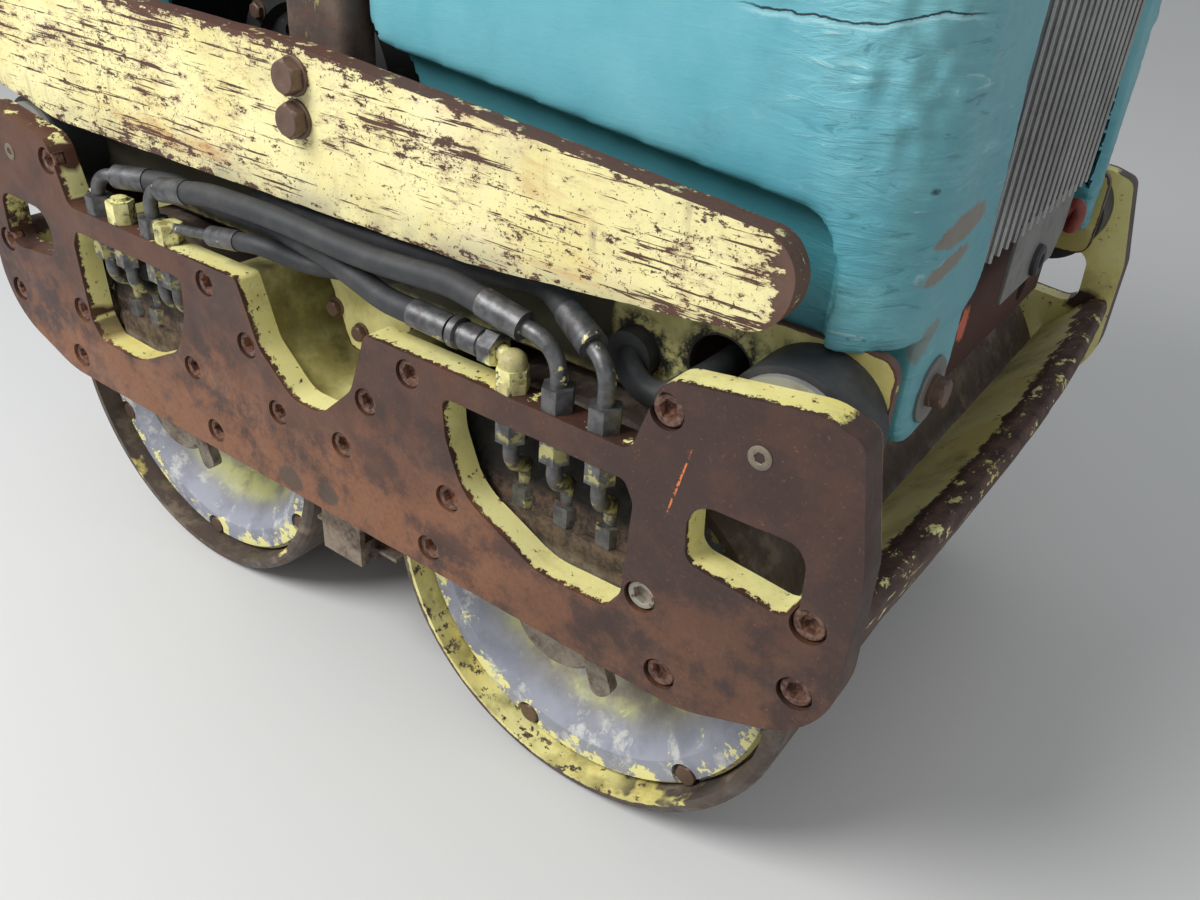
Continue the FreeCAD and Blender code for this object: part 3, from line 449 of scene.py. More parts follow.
def makeHood():
    # moulded hood: sun-bleached turquoise with scuffs, rubbed ridges, a crack and dirt, painted shade in the recess, on
    # the front faces, on the legs' lower sides and in the ridge hollows, and painted highlights on the ridge tops and
    # above the crack
    f = Finish("hoodShell", 0.46)
    x, y, z = f.axes()
    nx, _, nz = f.facing()
    scores = f.noise(30, 9, 0.75, (0.35, 0.35, 2.4), 0.6)
    ridges = f.noise(62, 7, 0.62, (0.42, 0.42, 2.1), 0.9)
    fine = f.noise(260, 6, 0.7, (0.3, 0.3, 1.5))
    rubbed = f.stored("rub")
    pale = f.ramp(scores + rubbed * 0.14, 0.6, 0.7) * f.ramp(fine, 0.35, 0.6)
    # painted highlight on the tops of the rubbed ridges, and painted shade in their hollows
    crestHighlight = f.ramp(ridges, 0.6, 0.7) * rubbed
    hollowShade = f.ramp(ridges, 0.42, 0.33) * rubbed
    dark = f.patches(0.62, 0.7, 60, 7, 0.75, (0.5, 0.5, 1.3)) * rubbed
    # painted shade on the lower sides of the hood's legs that do not face forward
    leg = f.ramp(z, 0.492, 0.48) * f.ramp(nx, 0.6, 0.2)
    dust = f.ramp(nz, 0.55, 0.9) * f.patches(0.36, 0.64, 8, 7, 0.7)
    drips = f.patches(0.6, 0.72, 46, 6, 0.7, (1, 1, 0.07)) * f.ramp(z, 0.7, 0.94)
    smears = f.most(f.spot((463, -216, 561), (14, 44, 10), (4, 0, 0), 0.9, 40),
                    f.spot((463, -224, 540), (14, 38, 7), (4, 0, 0), 0.9, 40),
                    f.spot((463, -226, 486), (14, 20, 16), (30, 0, 0), 0.9, 40) * 0.7)
    chips = f.most(f.spot((460, -292, 600), (9, 9, 5)), f.spot((462, -268, 592), (8, 7, 3)),
                   f.spot((446, -296, 502), (13, 11, 5), rag=0.9))
    # the crack runs along the near side a little over a third of the way up, then rises to the corner
    rise = f.ramp(x, middleX + 0.405, middleX + 0.45) * 0.009
    gap = z - (rise + 0.6765 + (f.noise(60, 4, 0.6) - 0.5) * 0.006)
    span = f.ramp(x, middleX + 0.33, middleX + 0.352) * f.ramp(x, middleX + 0.462, middleX + 0.452)
    span *= f.ramp(y, -0.2, -0.24)
    crack = span * f.ramp(abs(gap), 0.0008, 0.0003)
    # painted highlight: a pale line just above the crack
    lipHighlight = span * f.ramp(abs(gap + 0.0024), 0.002, 0.0)
    base = f.coats(f.mix(f.patches(0.3, 0.7, 5, 5, 0.6), "turquoise", "turquoisePale"),
                   # painted shade: faces turned forward are made darker and greyer
                   (f.patches(0.4, 0.7, 2.6, 3) * 0.6, "turquoise"), (f.ramp(nx, 0.35, 0.9) * 0.42, rgb(84, 138, 142)),
                   (pale * 0.35, "turquoisePale"), (crestHighlight * 0.55, rgb(176, 214, 214)), (hollowShade * 0.55, "turquoiseHollowShade"),
                   # painted shade on the recess floor, from the stored recess attribute
                   (dark * 0.8, rgb(34, 72, 80)), (f.stored("recess") * 0.72, rgb(38, 104, 116)),
                   (leg * 0.6, rgb(36, 112, 118)), (f.patches(0.54, 0.82, 11, 6, 0.7) * 0.3, "dirt"),
                   (dust * 0.5, rgb(142, 160, 156)), (drips * 0.35, rgb(120, 132, 124)),
                   (smears * 0.8, rgb(128, 104, 84)), (chips * 0.85, rgb(20, 44, 50)), (lipHighlight * 0.5, rgb(178, 220, 224)),
                   (crack, rgb(16, 42, 50)))
    relief = f.noise(240, 5, 0.65) * 0.12 + scores * 0.3 + ridges * rubbed ** 1.4 * 2.4 - f.most(crack, chips) * 0.8
    f.done(base, f.blend(f.noise(50, 5), 0.34, 0.62), relief, 0.5, 0.0026)


def makeRubber(name, scale):
    # dull rubber, dusty in places
    f = Finish(name, 0.62)
    dust = f.patches(0.42, 0.8, 28, 6, 0.7)
    f.done(f.mix(dust * 0.4, "rubber", rgb(96, 94, 90)), f.blend(f.noise(60), 0.45, 0.75),
           f.noise(scale, 4, 0.6), 0.3, 0.0006)


def makeZinc():
    # plated fittings: dull grey above the strip; primrose and rust on the tubes and nuts below it
    f = Finish("zincFitting", 0.5, 0.6)
    z = f.axes()[2]
    bloom = f.patches(0.52, 0.74, 70, 6, 0.7)
    grey = f.mix(f.patches(0.35, 0.7, 120, 5), "zinc", rgb(74, 74, 76))
    below = f.ramp(z, 0.402, 0.396)
    base = f.mix(bloom * f.blend(below, 0.35, 0.9), grey, "rustBrown")
    chosen = f.most(*[f.spot((sx * cx, sy * 344.5, cz), (r, 20, r), rag=0.25) for sx, cx, cz, r in (
        (1, 217, 426, 21), (-1, 258, 420, 17), (-1, 185, 420, 15)) for sy in (1, -1)])
    kept = f.patches(0.62, 0.66, 38, 5, 0.6)
    bare = f.most(f.ramp(z, 0.35, 0.346) * f.ramp(z, 0.312, 0.318), f.ramp(z, 0.368, 0.372))
    lower = below * f.patches(0.5, 0.55, 62, 5, 0.66) * bare
    painted = f.most(kept, lower, chosen * f.patches(0.62, 0.58, 150, 5, 0.7))
    paint = f.mix(f.patches(0.4, 0.7, 60, 5), "primrose", "primroseDirty")
    base = f.mix(painted, base, f.mix(below * 0.7, paint, "olive"))
    f.done(base, f.blend(bloom, 0.42, 0.72), f.noise(260, 5, 0.7), 0.35, 0.0006,
           f.blend(f.most(painted, bloom * below), 0.55, 0.0))


def axleRadius(f):
    # how far a point lies from its own drum's axle
    x, _, z = f.axes()
    away = abs(x - middleX) - (frontAxle.x - middleX)
    up = z - frontAxle.z
    return f.calc("SQRT", away * away + up * up)


def makeDrumSteel():
    # drum shells: worn rolling face, bare brown rim, primrose left inside the rim
    f = Finish("drumSteel", 0.45, 0.6)
    radius = axleRadius(f)
    inner = f.ramp(radius, 0.1915, 0.1885)
    ragged = f.noise(90, 6, 0.7) + inner * 0.34
    x = f.axes()[0]
    kept = f.most(f.ramp(x, frontAxle.x + 0.085, frontAxle.x + 0.045), f.patches(0.56, 0.6, 9, 4, 0.6))
    kept *= f.most(f.ramp(x, middleX, middleX + 0.01), f.patches(0.6, 0.65, 12, 5))
    painted = f.ramp(ragged, 0.74, 0.77) * kept
    rust = f.patches(0.36, 0.6, 34, 6, 0.7)
    base = f.coats(f.mix(rust, rgb(104, 94, 86), rgb(84, 68, 58)), (f.patches(0.45, 0.7, 11, 5) * 0.6, "steelDark"))
    caked = f.patches(0.5, 0.64, 20, 7, 0.72) * 0.7
    base = f.mix(caked, base, rgb(138, 124, 106))
    paint = f.mix(f.patches(0.45, 0.7, 26, 6), paintColour(f), "primroseDirty")
    f.done(f.mix(painted, base, paint), f.blend(rust, 0.42, 0.75), f.noise(200, 6, 0.7) + painted * 0.7, 0.3, 0.0009,
           (1 - painted) * f.blend(rust, 0.6, 0.1))


def makeDisc():
    # drum discs: lilac-grey ring scuffed pale, primrose at its edges, dusty dish
    f = Finish("discPaint", 0.5)
    radius = axleRadius(f)
    left = f.ramp(f.noise(40, 7, 0.72) + f.ramp(radius, 0.15, 0.18) * 0.13, 0.62, 0.64)
    dish = f.ramp(radius + f.noise(30, 4) * 0.012, 0.156, 0.126)
    band = f.ramp(radius, 0.104, 0.116) * f.ramp(radius, 0.14, 0.13)
    dust = f.coats(f.mix(f.patches(0.38, 0.62, 12, 6, 0.7), rgb(134, 126, 110), rgb(172, 166, 138)),
                   (band * f.patches(0.42, 0.56, 16, 5), rgb(196, 196, 130)),
                   (f.patches(0.5, 0.72, 33, 6, 0.7) * 0.6, rgb(112, 104, 94)))
    base = f.coats(f.mix(f.patches(0.4, 0.66, 18, 5, 0.6), "discGrey", rgb(128, 130, 142)),
                   (f.patches(0.52, 0.62, 27, 7, 0.7) * 0.75, rgb(204, 204, 196)), (left, "primrose"),
                   (dish * f.patches(0.2, 0.42, 22, 5), dust), (f.ramp(radius, 0.10, 0.06) * 0.8, "dirt"),
                   (f.patches(0.68, 0.71, 130, 6, 0.75), "chipBrown"))
    f.done(base, f.blend(f.noise(45), 0.42, 0.7), f.noise(150, 6, 0.7) * 0.35 + left * 0.3, 0.3, 0.0008)


def makePlain(name, colour, roughness, grimy, metallic, scale):
    # one colour, mottled and dirty
    f = Finish(name, roughness, metallic)
    base = f.mix(f.patches(0.3, 0.7, scale / 5, 4), colour, tuple(c * 0.72 for c in colour))
    f.done(f.mix(f.patches(0.45, 0.8, scale, 6, 0.7) * grimy, base, "dirt"),
           f.blend(f.noise(scale * 1.7), max(0.15, roughness - 0.14), min(1, roughness + 0.14)),
           f.noise(scale * 7, 5, 0.65), 0.3, 0.0008)


def makeWornBlack(name, roughness, chipped):
    # black paint or plastic: grey scuffs, chips down to brown steel, dust where it faces up
    f = Finish(name, roughness)
    nz = f.facing()[2]
    dust = f.ramp(nz, 0.2, 0.9) * f.patches(0.34, 0.64, 14, 7, 0.7)
    chips = f.patches(0.76 - chipped * 0.12, 0.775 - chipped * 0.12, 70, 9, 0.75)
    base = f.coats(f.mix(f.patches(0.35, 0.65, 7, 5, 0.6), rgb(30, 30, 32), rgb(48, 47, 46)),
                   (f.patches(0.6, 0.7, 90, 7, 0.72, (0.3, 0.6, 1)) * 0.6, rgb(92, 92, 92)),
                   (dust * 0.6, rgb(124, 116, 102)), (chips, f.mix(f.noise(160), "rustDark", "rustBrown")))
    f.done(base, f.blend(f.most(dust, chips), roughness - 0.08, 0.82), f.noise(260, 5) * 0.3 - chips * 0.8, 0.35,
           0.0008)


def makeScrewSteel():
    # screw heads: brown steel, with a painted copper glint in their sockets
    f = Finish("screwSteel", 0.5, 0.4)
    y = f.axes()[1]
    depth = outerY - abs(y)
    # painted glint: copper colour deep in each socket
    socket = f.ramp(depth, 0.0032, 0.005) * f.patches(0.46, 0.6, 130, 4, 0.6)
    socketGlint = socket * 0.6
    grain = f.mix(f.patches(0.35, 0.65, 300, 5), "rustDark", rgb(112, 84, 68))
    base = f.mix(socketGlint, grain, "copper")
    pale = f.spot((347, -355, 295), (14, 14, 14), rag=0.1) * f.patches(0.6, 0.52, 120, 5, 0.7)
    f.done(f.mix(pale * 0.85, base, rgb(170, 164, 150)), f.blend(socketGlint, 0.72, 0.4), f.noise(400, 5, 0.7), 0.4,
           0.0005, f.most(socketGlint, pale) * 0.5)


for make in (makeWornPlate, makeGuardPaint, makeBumper, makeTrough, makePost, makeFramePaint, makeWindowMudAndShade, makeRust,
             makeHood, makeZinc, makeDrumSteel, makeDisc, makeScrewSteel):
    make()
makeDusty("mudRust", rgb(96, 80, 68), rgb(142, 128, 112), 0.85)
makeDusty("carrierSteel", rgb(98, 84, 74), rgb(140, 130, 114), 0.8)
makeRubber("hoseRubber", 300)
makeRubber("bufferRubber", 160)
makeWornBlack("blackPaint", 0.45, 0.5)
makeWornBlack("blackPlastic", 0.55, -0.4)
plainFinishes = {
    # colour, roughness, share of dirt, metal, scale of the pattern
    "boltRust": (rgb(112, 88, 74), 0.5, 0.5, 0.3, 90),
    "paleSteel": (rgb(134, 122, 106), 0.5, 0.85, 0.3, 200),
    "elbowPaint": (rgb(212, 200, 138), 0.5, 0.85, 0.0, 90),
    "finMetal": (rgb(70, 70, 70), 0.55, 0.6, 0.3, 60),
    "apronMetal": (rgb(128, 128, 124), 0.55, 0.6, 0.2, 50),
    "washerGrey": (rgb(124, 122, 118), 0.5, 0.5, 0.3, 60),
    "ribMetal": (rgb(186, 186, 184), 0.42, 0.3, 0.4, 60),
    "redPaint": (rgb(142, 66, 54), 0.5, 0.45, 0.0, 90),
    "castGrey": (rgb(70, 70, 72), 0.65, 0.6, 0.0, 40),
    "stopRed": (rgb(176, 34, 26), 0.35, 0.3, 0.0, 60),
    "bufferPlate": (rgb(156, 156, 150), 0.5, 0.5, 0.2, 60)}
for name, values in plainFinishes.items():
    makePlain(name, *values)
print("materials:", len(finishes))


nodeFinish = {
    # finish: how the names of its nodes start
    "blackPaint": ["lid_hinge", "hydraulic_tank", "drawbar", "handle_loop"],
    "blackPlastic": ["fan_cover", "air_cleaner", "console", "travel_lever"],
    "hoodShell": ["service_lid", "rear_hood", "front_hood"],
    "bumperPaint": ["front_bumper", "rear_bumper"], "brownRust": ["front_cross", "rear_cross"],
    "drumSteel": ["drum_front_shell", "drum_rear_shell"], "discPaint": ["drum_front_discs", "drum_rear_discs"],
    "carrierSteel": ["drum_carrier"], "mudRust": ["scraper_bar"], "bufferPlate": ["buffer_plates"],
    "bufferRubber": ["buffer_rubbers"], "ribMetal": ["radiator"], "redPaint": ["hood_hook"],
    "castGrey": ["engine_block"], "zincFitting": ["fittings"], "hoseRubber": ["hoses"], "postRust": ["lifting"],
    "framePaint": ["frame_"], "guardPaint": ["guard_bar"], "wornPlate": ["side_plate"],
    "troughPaint": ["centre_cross"]}
for node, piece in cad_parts.items():
    finish, = [finish for finish, starts in nodeFinish.items() if node.startswith(tuple(starts))]
    piece.data.materials.clear()
    piece.data.materials.append(finishes[finish])


def newPiece(name, mesh, finish, slot, body="frame", stands=()):
    piece = linked(name, mesh)
    mesh.materials.clear()
    mesh.materials.append(finishes[finish])
    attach(piece, body)
    if stands:
        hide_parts(*stands)
    return piece


def evaluated(worker):
    # the mesh that an object comes to; the object itself is taken away
    graph = bpy.context.evaluated_depsgraph_get()
    graph.update()
    mesh = bpy.data.meshes.new_from_object(worker.evaluated_get(graph))
    bpy.data.objects.remove(worker)
    return mesh


def modified(mesh, *steps):
    # the mesh after modifiers, each step a type and its settings
    worker = linked("worker", mesh)
    for kind, settings in steps:
        modifier = worker.modifiers.new(kind, kind)
        for key, value in settings.items():
            setattr(modifier, key, value)
    return evaluated(worker)


def opened(*meshes):
    bm = bmesh.new()
    for mesh in meshes:
        bm.from_mesh(mesh)
    return bm


def closed(bm, name):
    mesh = bpy.data.meshes.new(name)
    bm.to_mesh(mesh)
    bm.free()
    return mesh


def cadCopy(node):
    # a node's mesh with its triangles joined and its flat faces made whole
    bm = opened(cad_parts[node].data)
    bmesh.ops.remove_doubles(bm, verts=bm.verts, dist=2e-6)
    bmesh.ops.dissolve_limit(bm, angle_limit=math.radians(0.4), verts=bm.verts, edges=bm.edges)
    return closed(bm, node + "_copy")


arrisAngle = math.radians(32)  # edges sharper than this count as arrises


def arrisPoints(mesh, step=0.002):
    # points along every sharp edge
    bm = opened(mesh)
    points = []
    for edge in bm.edges:
        if len(edge.link_faces) != 2 or edge.calc_face_angle(0) > arrisAngle:
            a, b = (vertex.co for vertex in edge.verts)
            count = max(1, round((b - a).length / step))
            points += [a.lerp(b, i / count) for i in range(count + 1)]
    bm.free()
    return points


def treeOf(points):
    tree = kdtree.KDTree(len(points))
    for i, point in enumerate(points):
        tree.insert(point, i)
    tree.balance()
    return tree


flatCosine = 0.999999
rowShare = 0.87  # height of a row of even triangles, as a share of their side


def flatRegions(bm):
    # groups of joined faces that lie in one plane
    seen = set()
    for first in bm.faces:
        if first.index in seen:
            continue
        seen.add(first.index)
        group = [first]
        for face in group:
            for edge in face.edges:
                for other in edge.link_faces:
                    if other.index not in seen and other.normal.dot(first.normal) > flatCosine:
                        seen.add(other.index)
                        group.append(other)
        yield group


def inside(border, points, batch=2000):
    # which points lie inside a border of 2D edges, holes left out
    points = np.array([p[:] for p in points])
    a = np.array([e[0][:] for e in border])
    b = np.array([e[1][:] for e in border])
    result = np.zeros(len(points), bool)
    for start in range(0, len(points), batch):
        px, py = points[start:start + batch, 0:1], points[start:start + batch, 1:2]
        spans = (a[:, 1] > py) != (b[:, 1] > py)
        rise = np.where(b[:, 1] == a[:, 1], 1.0, b[:, 1] - a[:, 1])
        crossing = a[:, 0] + (py - a[:, 1]) / rise * (b[:, 0] - a[:, 0])
        result[start:start + batch] = (spans & (px < crossing)).sum(1) % 2 == 1
    return result


def densified(mesh, spacing):
    # the same surface in small even triangles, so that attributes and dents have points to sit on
    source = opened(mesh)
    bmesh.ops.triangulate(source, faces=source.faces)
    source.faces.ensure_lookup_table()
    source.faces.index_update()
    verts, faces = [], []
    for group in flatRegions(source):
        inGroup = set(f.index for f in group)
        normal = group[0].normal
        side = normal.orthogonal().normalized()
        other = normal.cross(side)
        origin = group[0].verts[0].co.copy()
        index, flat, edges = {}, [], []

        def flatPoint(point):
            key = (round(point.x, 7), round(point.y, 7), round(point.z, 7))
            if key not in index:
                index[key] = len(flat)
                offset = point - origin
                flat.append(Vector((offset.dot(side), offset.dot(other))))
            return index[key]

        for face in group:
            for edge in face.edges:
                if all(f.index in inGroup for f in edge.link_faces):
                    continue
                a, b = sorted((v.co for v in edge.verts), key=lambda p: (p.x, p.y, p.z))
                count = max(1, round((b - a).length / spacing))
                chain = [flatPoint(a.lerp(b, i / count)) for i in range(count + 1)]
                edges += list(zip(chain[:-1], chain[1:]))
        if len(flat) == 3 and len(group) == 1:
            faces.append([len(verts), len(verts) + 1, len(verts) + 2])
            verts += [v.co.copy() for v in group[0].verts]
            continue
        low = Vector((min(p.x for p in flat), min(p.y for p in flat)))
        high = Vector((max(p.x for p in flat), max(p.y for p in flat)))
        border = [(flat[a], flat[b]) for a, b in edges]
        if min(high.x - low.x, high.y - low.y) > spacing:
            tree = treeOf([p.to_3d() for p in flat])
            for step, near, far in ((spacing, 0.55, 2.2), (spacing * 3, 2.5, 1e6)):
                for j in range(int((high.y - low.y) / (step * rowShare)) + 1):
                    for i in range(int((high.x - low.x) / step) + 1):
                        point = Vector((low.x + (i + 0.5 * (j % 2)) * step, low.y + j * step * rowShare, 0))
                        if near < tree.find(point)[2] / spacing < far:
                            flat.append(point.to_2d())
        points, _, triangles, *_ = geometry.delaunay_2d_cdt(flat, edges, [], 0, 1e-7)
        keep = inside(border, [sum((points[i] for i in t), Vector((0, 0))) / 3 for t in triangles])
        start = len(verts)
        verts += [origin + side * p.x + other * p.y for p in points]
        faces += [[start + i for i in t] for t, kept in zip(triangles, keep) if kept]
    source.free()
    result = bpy.data.meshes.new(mesh.name)
    result.from_pydata(verts, [], faces)
    bm = opened(result)
    bmesh.ops.remove_doubles(bm, verts=bm.verts, dist=1e-6)
    bmesh.ops.delete(bm, geom=[v for v in bm.verts if not v.link_faces], context="VERTS")
    return closed(bm, mesh.name)


def store(mesh, name, values):
    attribute = mesh.attributes.new(name, "FLOAT", "POINT")
    attribute.data.foreach_set("value", np.asarray(values, np.float32))


def softShade(mesh, angle=40):
    mesh.shade_smooth()
    mesh.set_sharp_from_angle(angle=math.radians(angle))
    return modified(mesh, ("WEIGHTED_NORMAL", {"keep_sharp": True, "weight": 50}))


dents = {"reach": 0.012, "fine": 90, "coarse": 34}  # how far from an arris, and the sizes of the two noises


def dressed(node, bevel, spacing, dent):
    # a node's shape with worn, rounded arrises and the distance to the nearest arris stored on it
    plain = cadCopy(node)
    arrises = treeOf(arrisPoints(plain))
    rounded = modified(plain, ("BEVEL", {"width": bevel, "segments": 2, "limit_method": "ANGLE",
                                         "angle_limit": arrisAngle, "use_clamp_overlap": True}))
    mesh = densified(rounded, spacing)
    if dent:
        normals = [v.normal.copy() for v in mesh.vertices]
        for vertex, normal in zip(mesh.vertices, normals):
            near = arrises.find(vertex.co)[2]
            if near < dents["reach"]:
                push = noise.noise(vertex.co * dents["fine"]) * 0.6 + noise.noise(vertex.co * dents["coarse"])
                vertex.co -= normal * dent * max(0.0, push) * (1 - near / dents["reach"])
    store(mesh, "edge", [arrises.find(v.co)[2] for v in mesh.vertices])
    return softShade(mesh)


screws = {"table": [(352, 447.5), (347, 295), (370, 235), (163, 294), (140.6, 234), (123.5, 391), (470, 338),
                    (471, 281), (74.4, 347.6), (41, 293)], "sunk": 2.6, "bore": 16.5}


def boreShare(point):
    # 1 in and around a screw's counterbore
    x, z = abs(point.x - middleX) * 1000, point.z * 1000
    return float(any(math.hypot(x - sx, z - sz) < screws["bore"] for sx, sz in screws["table"]))


dressTable = {
    # node: rounding of the arrises, triangle size, dents, finish, slot
    "side_plate_right": (0.0014, 0.006, 0.0006, "wornPlate", "worn_plate"),
    "side_plate_left": (0.0014, 0.008, 0.0006, "wornPlate", "worn_plate"),
    "guard_bar_right": (0.0030, 0.006, 0.0012, "guardPaint", "pale_yellow"),
    "guard_bar_left": (0.0030, 0.008, 0.0012, "guardPaint", "pale_yellow"),
    "frame_side_right": (0.0010, 0.009, 0.0, "framePaint", "pale_yellow"),
    "frame_side_left": (0.0010, 0.012, 0.0, "framePaint", "pale_yellow"),
    "centre_cross_member": (0.0020, 0.008, 0.0006, "troughPaint", "pale_yellow"),
    "front_bumper": (0.0030, 0.008, 0.0010, "bumperPaint", "pale_yellow"),
    "rear_bumper": (0.0030, 0.010, 0.0010, "bumperPaint", "pale_yellow"),
    "front_cross_plate": (0.0012, 0.009, 0.0, "brownRust", "rusty_steel"),
    "lifting_frame": (0.0020, 0.012, 0.0, "postRust", "rusty_steel")}
for node, (bevel, spacing, dent, finish, slot) in dressTable.items():
    began = time.time()
    mesh = dressed(node, bevel, spacing, dent)
    if finish == "wornPlate":
        store(mesh, "bore", [boreShare(v.co) for v in mesh.vertices])
    newPiece(node + ".worn", mesh, finish, slot, "frame", [node])
    print(node, "dressed:", len(mesh.polygons), "faces", round(time.time() - began, 1))


hood = {"front": 463, "near": 37, "half": 300, "top": 950, "bottom": 490, "corner": 62, "brow": 37,
        "recess": 22, "wall": 6, "grain": 4.25, "legBack": 428.6, "returnDepth": 13, "sign": 1,
        "window": [(-143, 380, 0), (239, 380, 0), (231, 497, 0), (190, 640, 60), (190, 890, 14), (-149, 890, 14),
                   (-149, 640, 20), (-128, 503, 12), (-143, 484, 12)],
        "legs": [[(-229, 540, 0), (-228, 398, 34), (-139, 398, 44), (-141, 540, 0)],
                 [(222, 540, 0), (227, 483, 30), (250, 437, 22), (272, 437, 8), (272, 540, 0)]],
        "recessLine": [(-900, 400, 0), (418, 400, 0), (418, 545, 40), (407, 573, 24), (372, 577, 40),
                       (50, 609, 60), (-900, 609, 0)],
        "tail": [(20, 467, 0), (75, 467, 0), (75, 559, 0), (57, 593, 0), (29, 637, 0), (20, 637, 0)]}
rearHood = dict(hood, near=237, grain=6.5, sign=-1, tail=None,
                window=[(-75, 380, 0), (75, 380, 0), (75, 620, 14), (-75, 620, 14)],
                legs=[[(-224, 540, 0), (-224, 400, 28), (-146, 400, 40), (-146, 540, 0)],
                      [(146, 540, 0), (146, 400, 40), (224, 400, 28), (224, 540, 0)]],
                recessLine=[(-900, 400, 0), (900, 400, 0), (900, 613, 0), (-900, 613, 0)])


def roundedLine(corners, steps=7):
    # 2D points through corners of x, z and radius
    points = []
    for i, (x, z, radius) in enumerate(corners):
        here = Vector((x, z))
        if not radius:
            points.append(here)
            continue
        before = Vector(corners[i - 1][:2]) - here
        after = Vector(corners[(i + 1) % len(corners)][:2]) - here
        half = before.angle(after) / 2
        reach = min(radius / math.tan(half), 0.48 * before.length, 0.48 * after.length)
        a, b = here + before.normalized() * reach, here + after.normalized() * reach
        for k in range(steps + 1):
            t = k / steps
            points.append(a * (1 - t) ** 2 + here * 2 * t * (1 - t) + b * t ** 2)
    return points


def bridge(bm, near, far, around=True):
    # faces between two rows of points
    for i in range(len(near) - (not around)):
        j = (i + 1) % len(near)
        bm.faces.new((near[i], near[j], far[j], far[i]))


def drawnOut(near, far):
    # closed solid between two outlines
    bm = bmesh.new()
    ends = [[bm.verts.new(point) for point in outline] for outline in (near, far)]
    for end in ends:
        bm.faces.new(end)
    bridge(bm, *ends)
    bmesh.ops.recalc_face_normals(bm, faces=bm.faces)
    return closed(bm, "drawnOut")


def prism(line, y0, y1):
    # a 2D line of x, z drawn out along y, in millimetres
    return drawnOut(*([at(p.x, y, p.y) for p in line] for y in (y0, y1)))


def aboutMiddle(mesh, matrix):
    # turns or mirrors a mesh about the point between the drums
    mesh.transform(Matrix.Translation(at(0, 0, 0)) @ matrix @ Matrix.Translation(-at(0, 0, 0)))
    return mesh


def crossPrism(line, x0, x1):
    # the same with the line in y, z, drawn out along x
    return aboutMiddle(prism(line, -x1, -x0), Matrix.Rotation(math.pi / 2, 4, "Z"))


def without(mesh, tools):
    # the mesh less each tool
    for tool in tools:
        cutter = linked("cutter", tool)
        mesh = modified(mesh, ("BOOLEAN", {"operation": "DIFFERENCE", "solver": "EXACT", "object": cutter}))
        bpy.data.objects.remove(cutter)
    return mesh


def hoodSkin(h):
    # a rounded block with its recesses, remeshed evenly; the open sides are taken off later
    bm = bmesh.new()
    bmesh.ops.create_cube(bm, size=1)
    low, high = at(h["near"], -h["half"], h["bottom"]), at(h["front"], h["half"], h["top"])
    for vertex in bm.verts:
        vertex.co = Vector([(low, high)[c > 0][i] for i, c in enumerate(vertex.co)])
    upright = [e for e in bm.edges if all(v.co.x > high.x - 1e-6 for v in e.verts)
               and abs(e.verts[0].co.z - e.verts[1].co.z) > 0.1]
    bmesh.ops.bevel(bm, geom=upright, offset=h["corner"] / 1000, segments=14, profile=0.5, affect="EDGES")
    brow = [e for e in bm.edges if all(v.co.z > high.z - 1e-6 for v in e.verts)
            and max(v.co.x for v in e.verts) > low.x + 1e-4]
    bmesh.ops.bevel(bm, geom=brow, offset=h["brow"] / 1000, segments=9, profile=0.5, affect="EDGES")
    line = roundedLine(h["recessLine"])
    depth, past = h["half"] - h["recess"], h["half"] + 100
    tools = [prism(line, -past, -depth), prism(line, depth, past)]
    if h["tail"]:
        tools.append(prism(roundedLine(h["tail"]), -past, past))
    tools.append(crossPrism(roundedLine(h["window"]), h["front"] - h["returnDepth"], h["front"] + 40))
    block = without(closed(bm, "hoodBlock"), tools)
    flaps = [crossPrism(roundedLine(leg), h["legBack"], h["front"] - 3) for leg in h["legs"]]
    return modified(closed(opened(block, *flaps), "hoodSkin"),
                    ("REMESH", {"mode": "VOXEL", "voxel_size": h["grain"] / 1000, "use_smooth_shade": True}),
                    ("SMOOTH", {"factor": 0.5, "iterations": 10}))


def openHood(mesh, h):
    # takes off the faces at the open bottom, back and cooler opening
    bm = opened(mesh)
    back = middleX + h["near"] / 1000
    pocket = middleX + (h["front"] - h["returnDepth"]) / 1000
    right, left = (edge(p[0] for p in h["window"]) / 1000 for edge in (min, max))
    top, foot = max(p[1] for p in h["window"]) / 1000, (h["bottom"] + 3) / 1000
    gone = []
    for face in bm.faces:
        centre, normal = face.calc_center_median(), face.normal
        x, y, z = centre
        between = right < y < left
        under = normal.z < -0.6 and z < foot and (x < middleX + (h["legBack"] - 4) / 1000 or
                                                  between and x < pocket + 0.002 and z > foot - 0.010)
        behind = normal.x < -0.35 and x < back + (0.040 if h["tail"] else h["grain"] / 1000) and z > 0.45
        window = normal.x > 0.25 and abs(x - pocket) < 0.005 and between and z < top
        if under or behind or window:
            gone.append(face)
    bmesh.ops.delete(bm, geom=gone, context="FACES")
    return closed(bm, "openHood")


# worn places of a hood in millimetres: middle and width of each, and where the painted shade of the recess ends in x
# and z
wear = {"inset": 18, "corner": 52, "cheek": (430, 110), "tear": (655, 46), "recess": (421, 612)}


def bell(value, middle, width):
    # 1 at the middle, falling off to both sides
    return math.exp(-((value - middle) / width) ** 2)


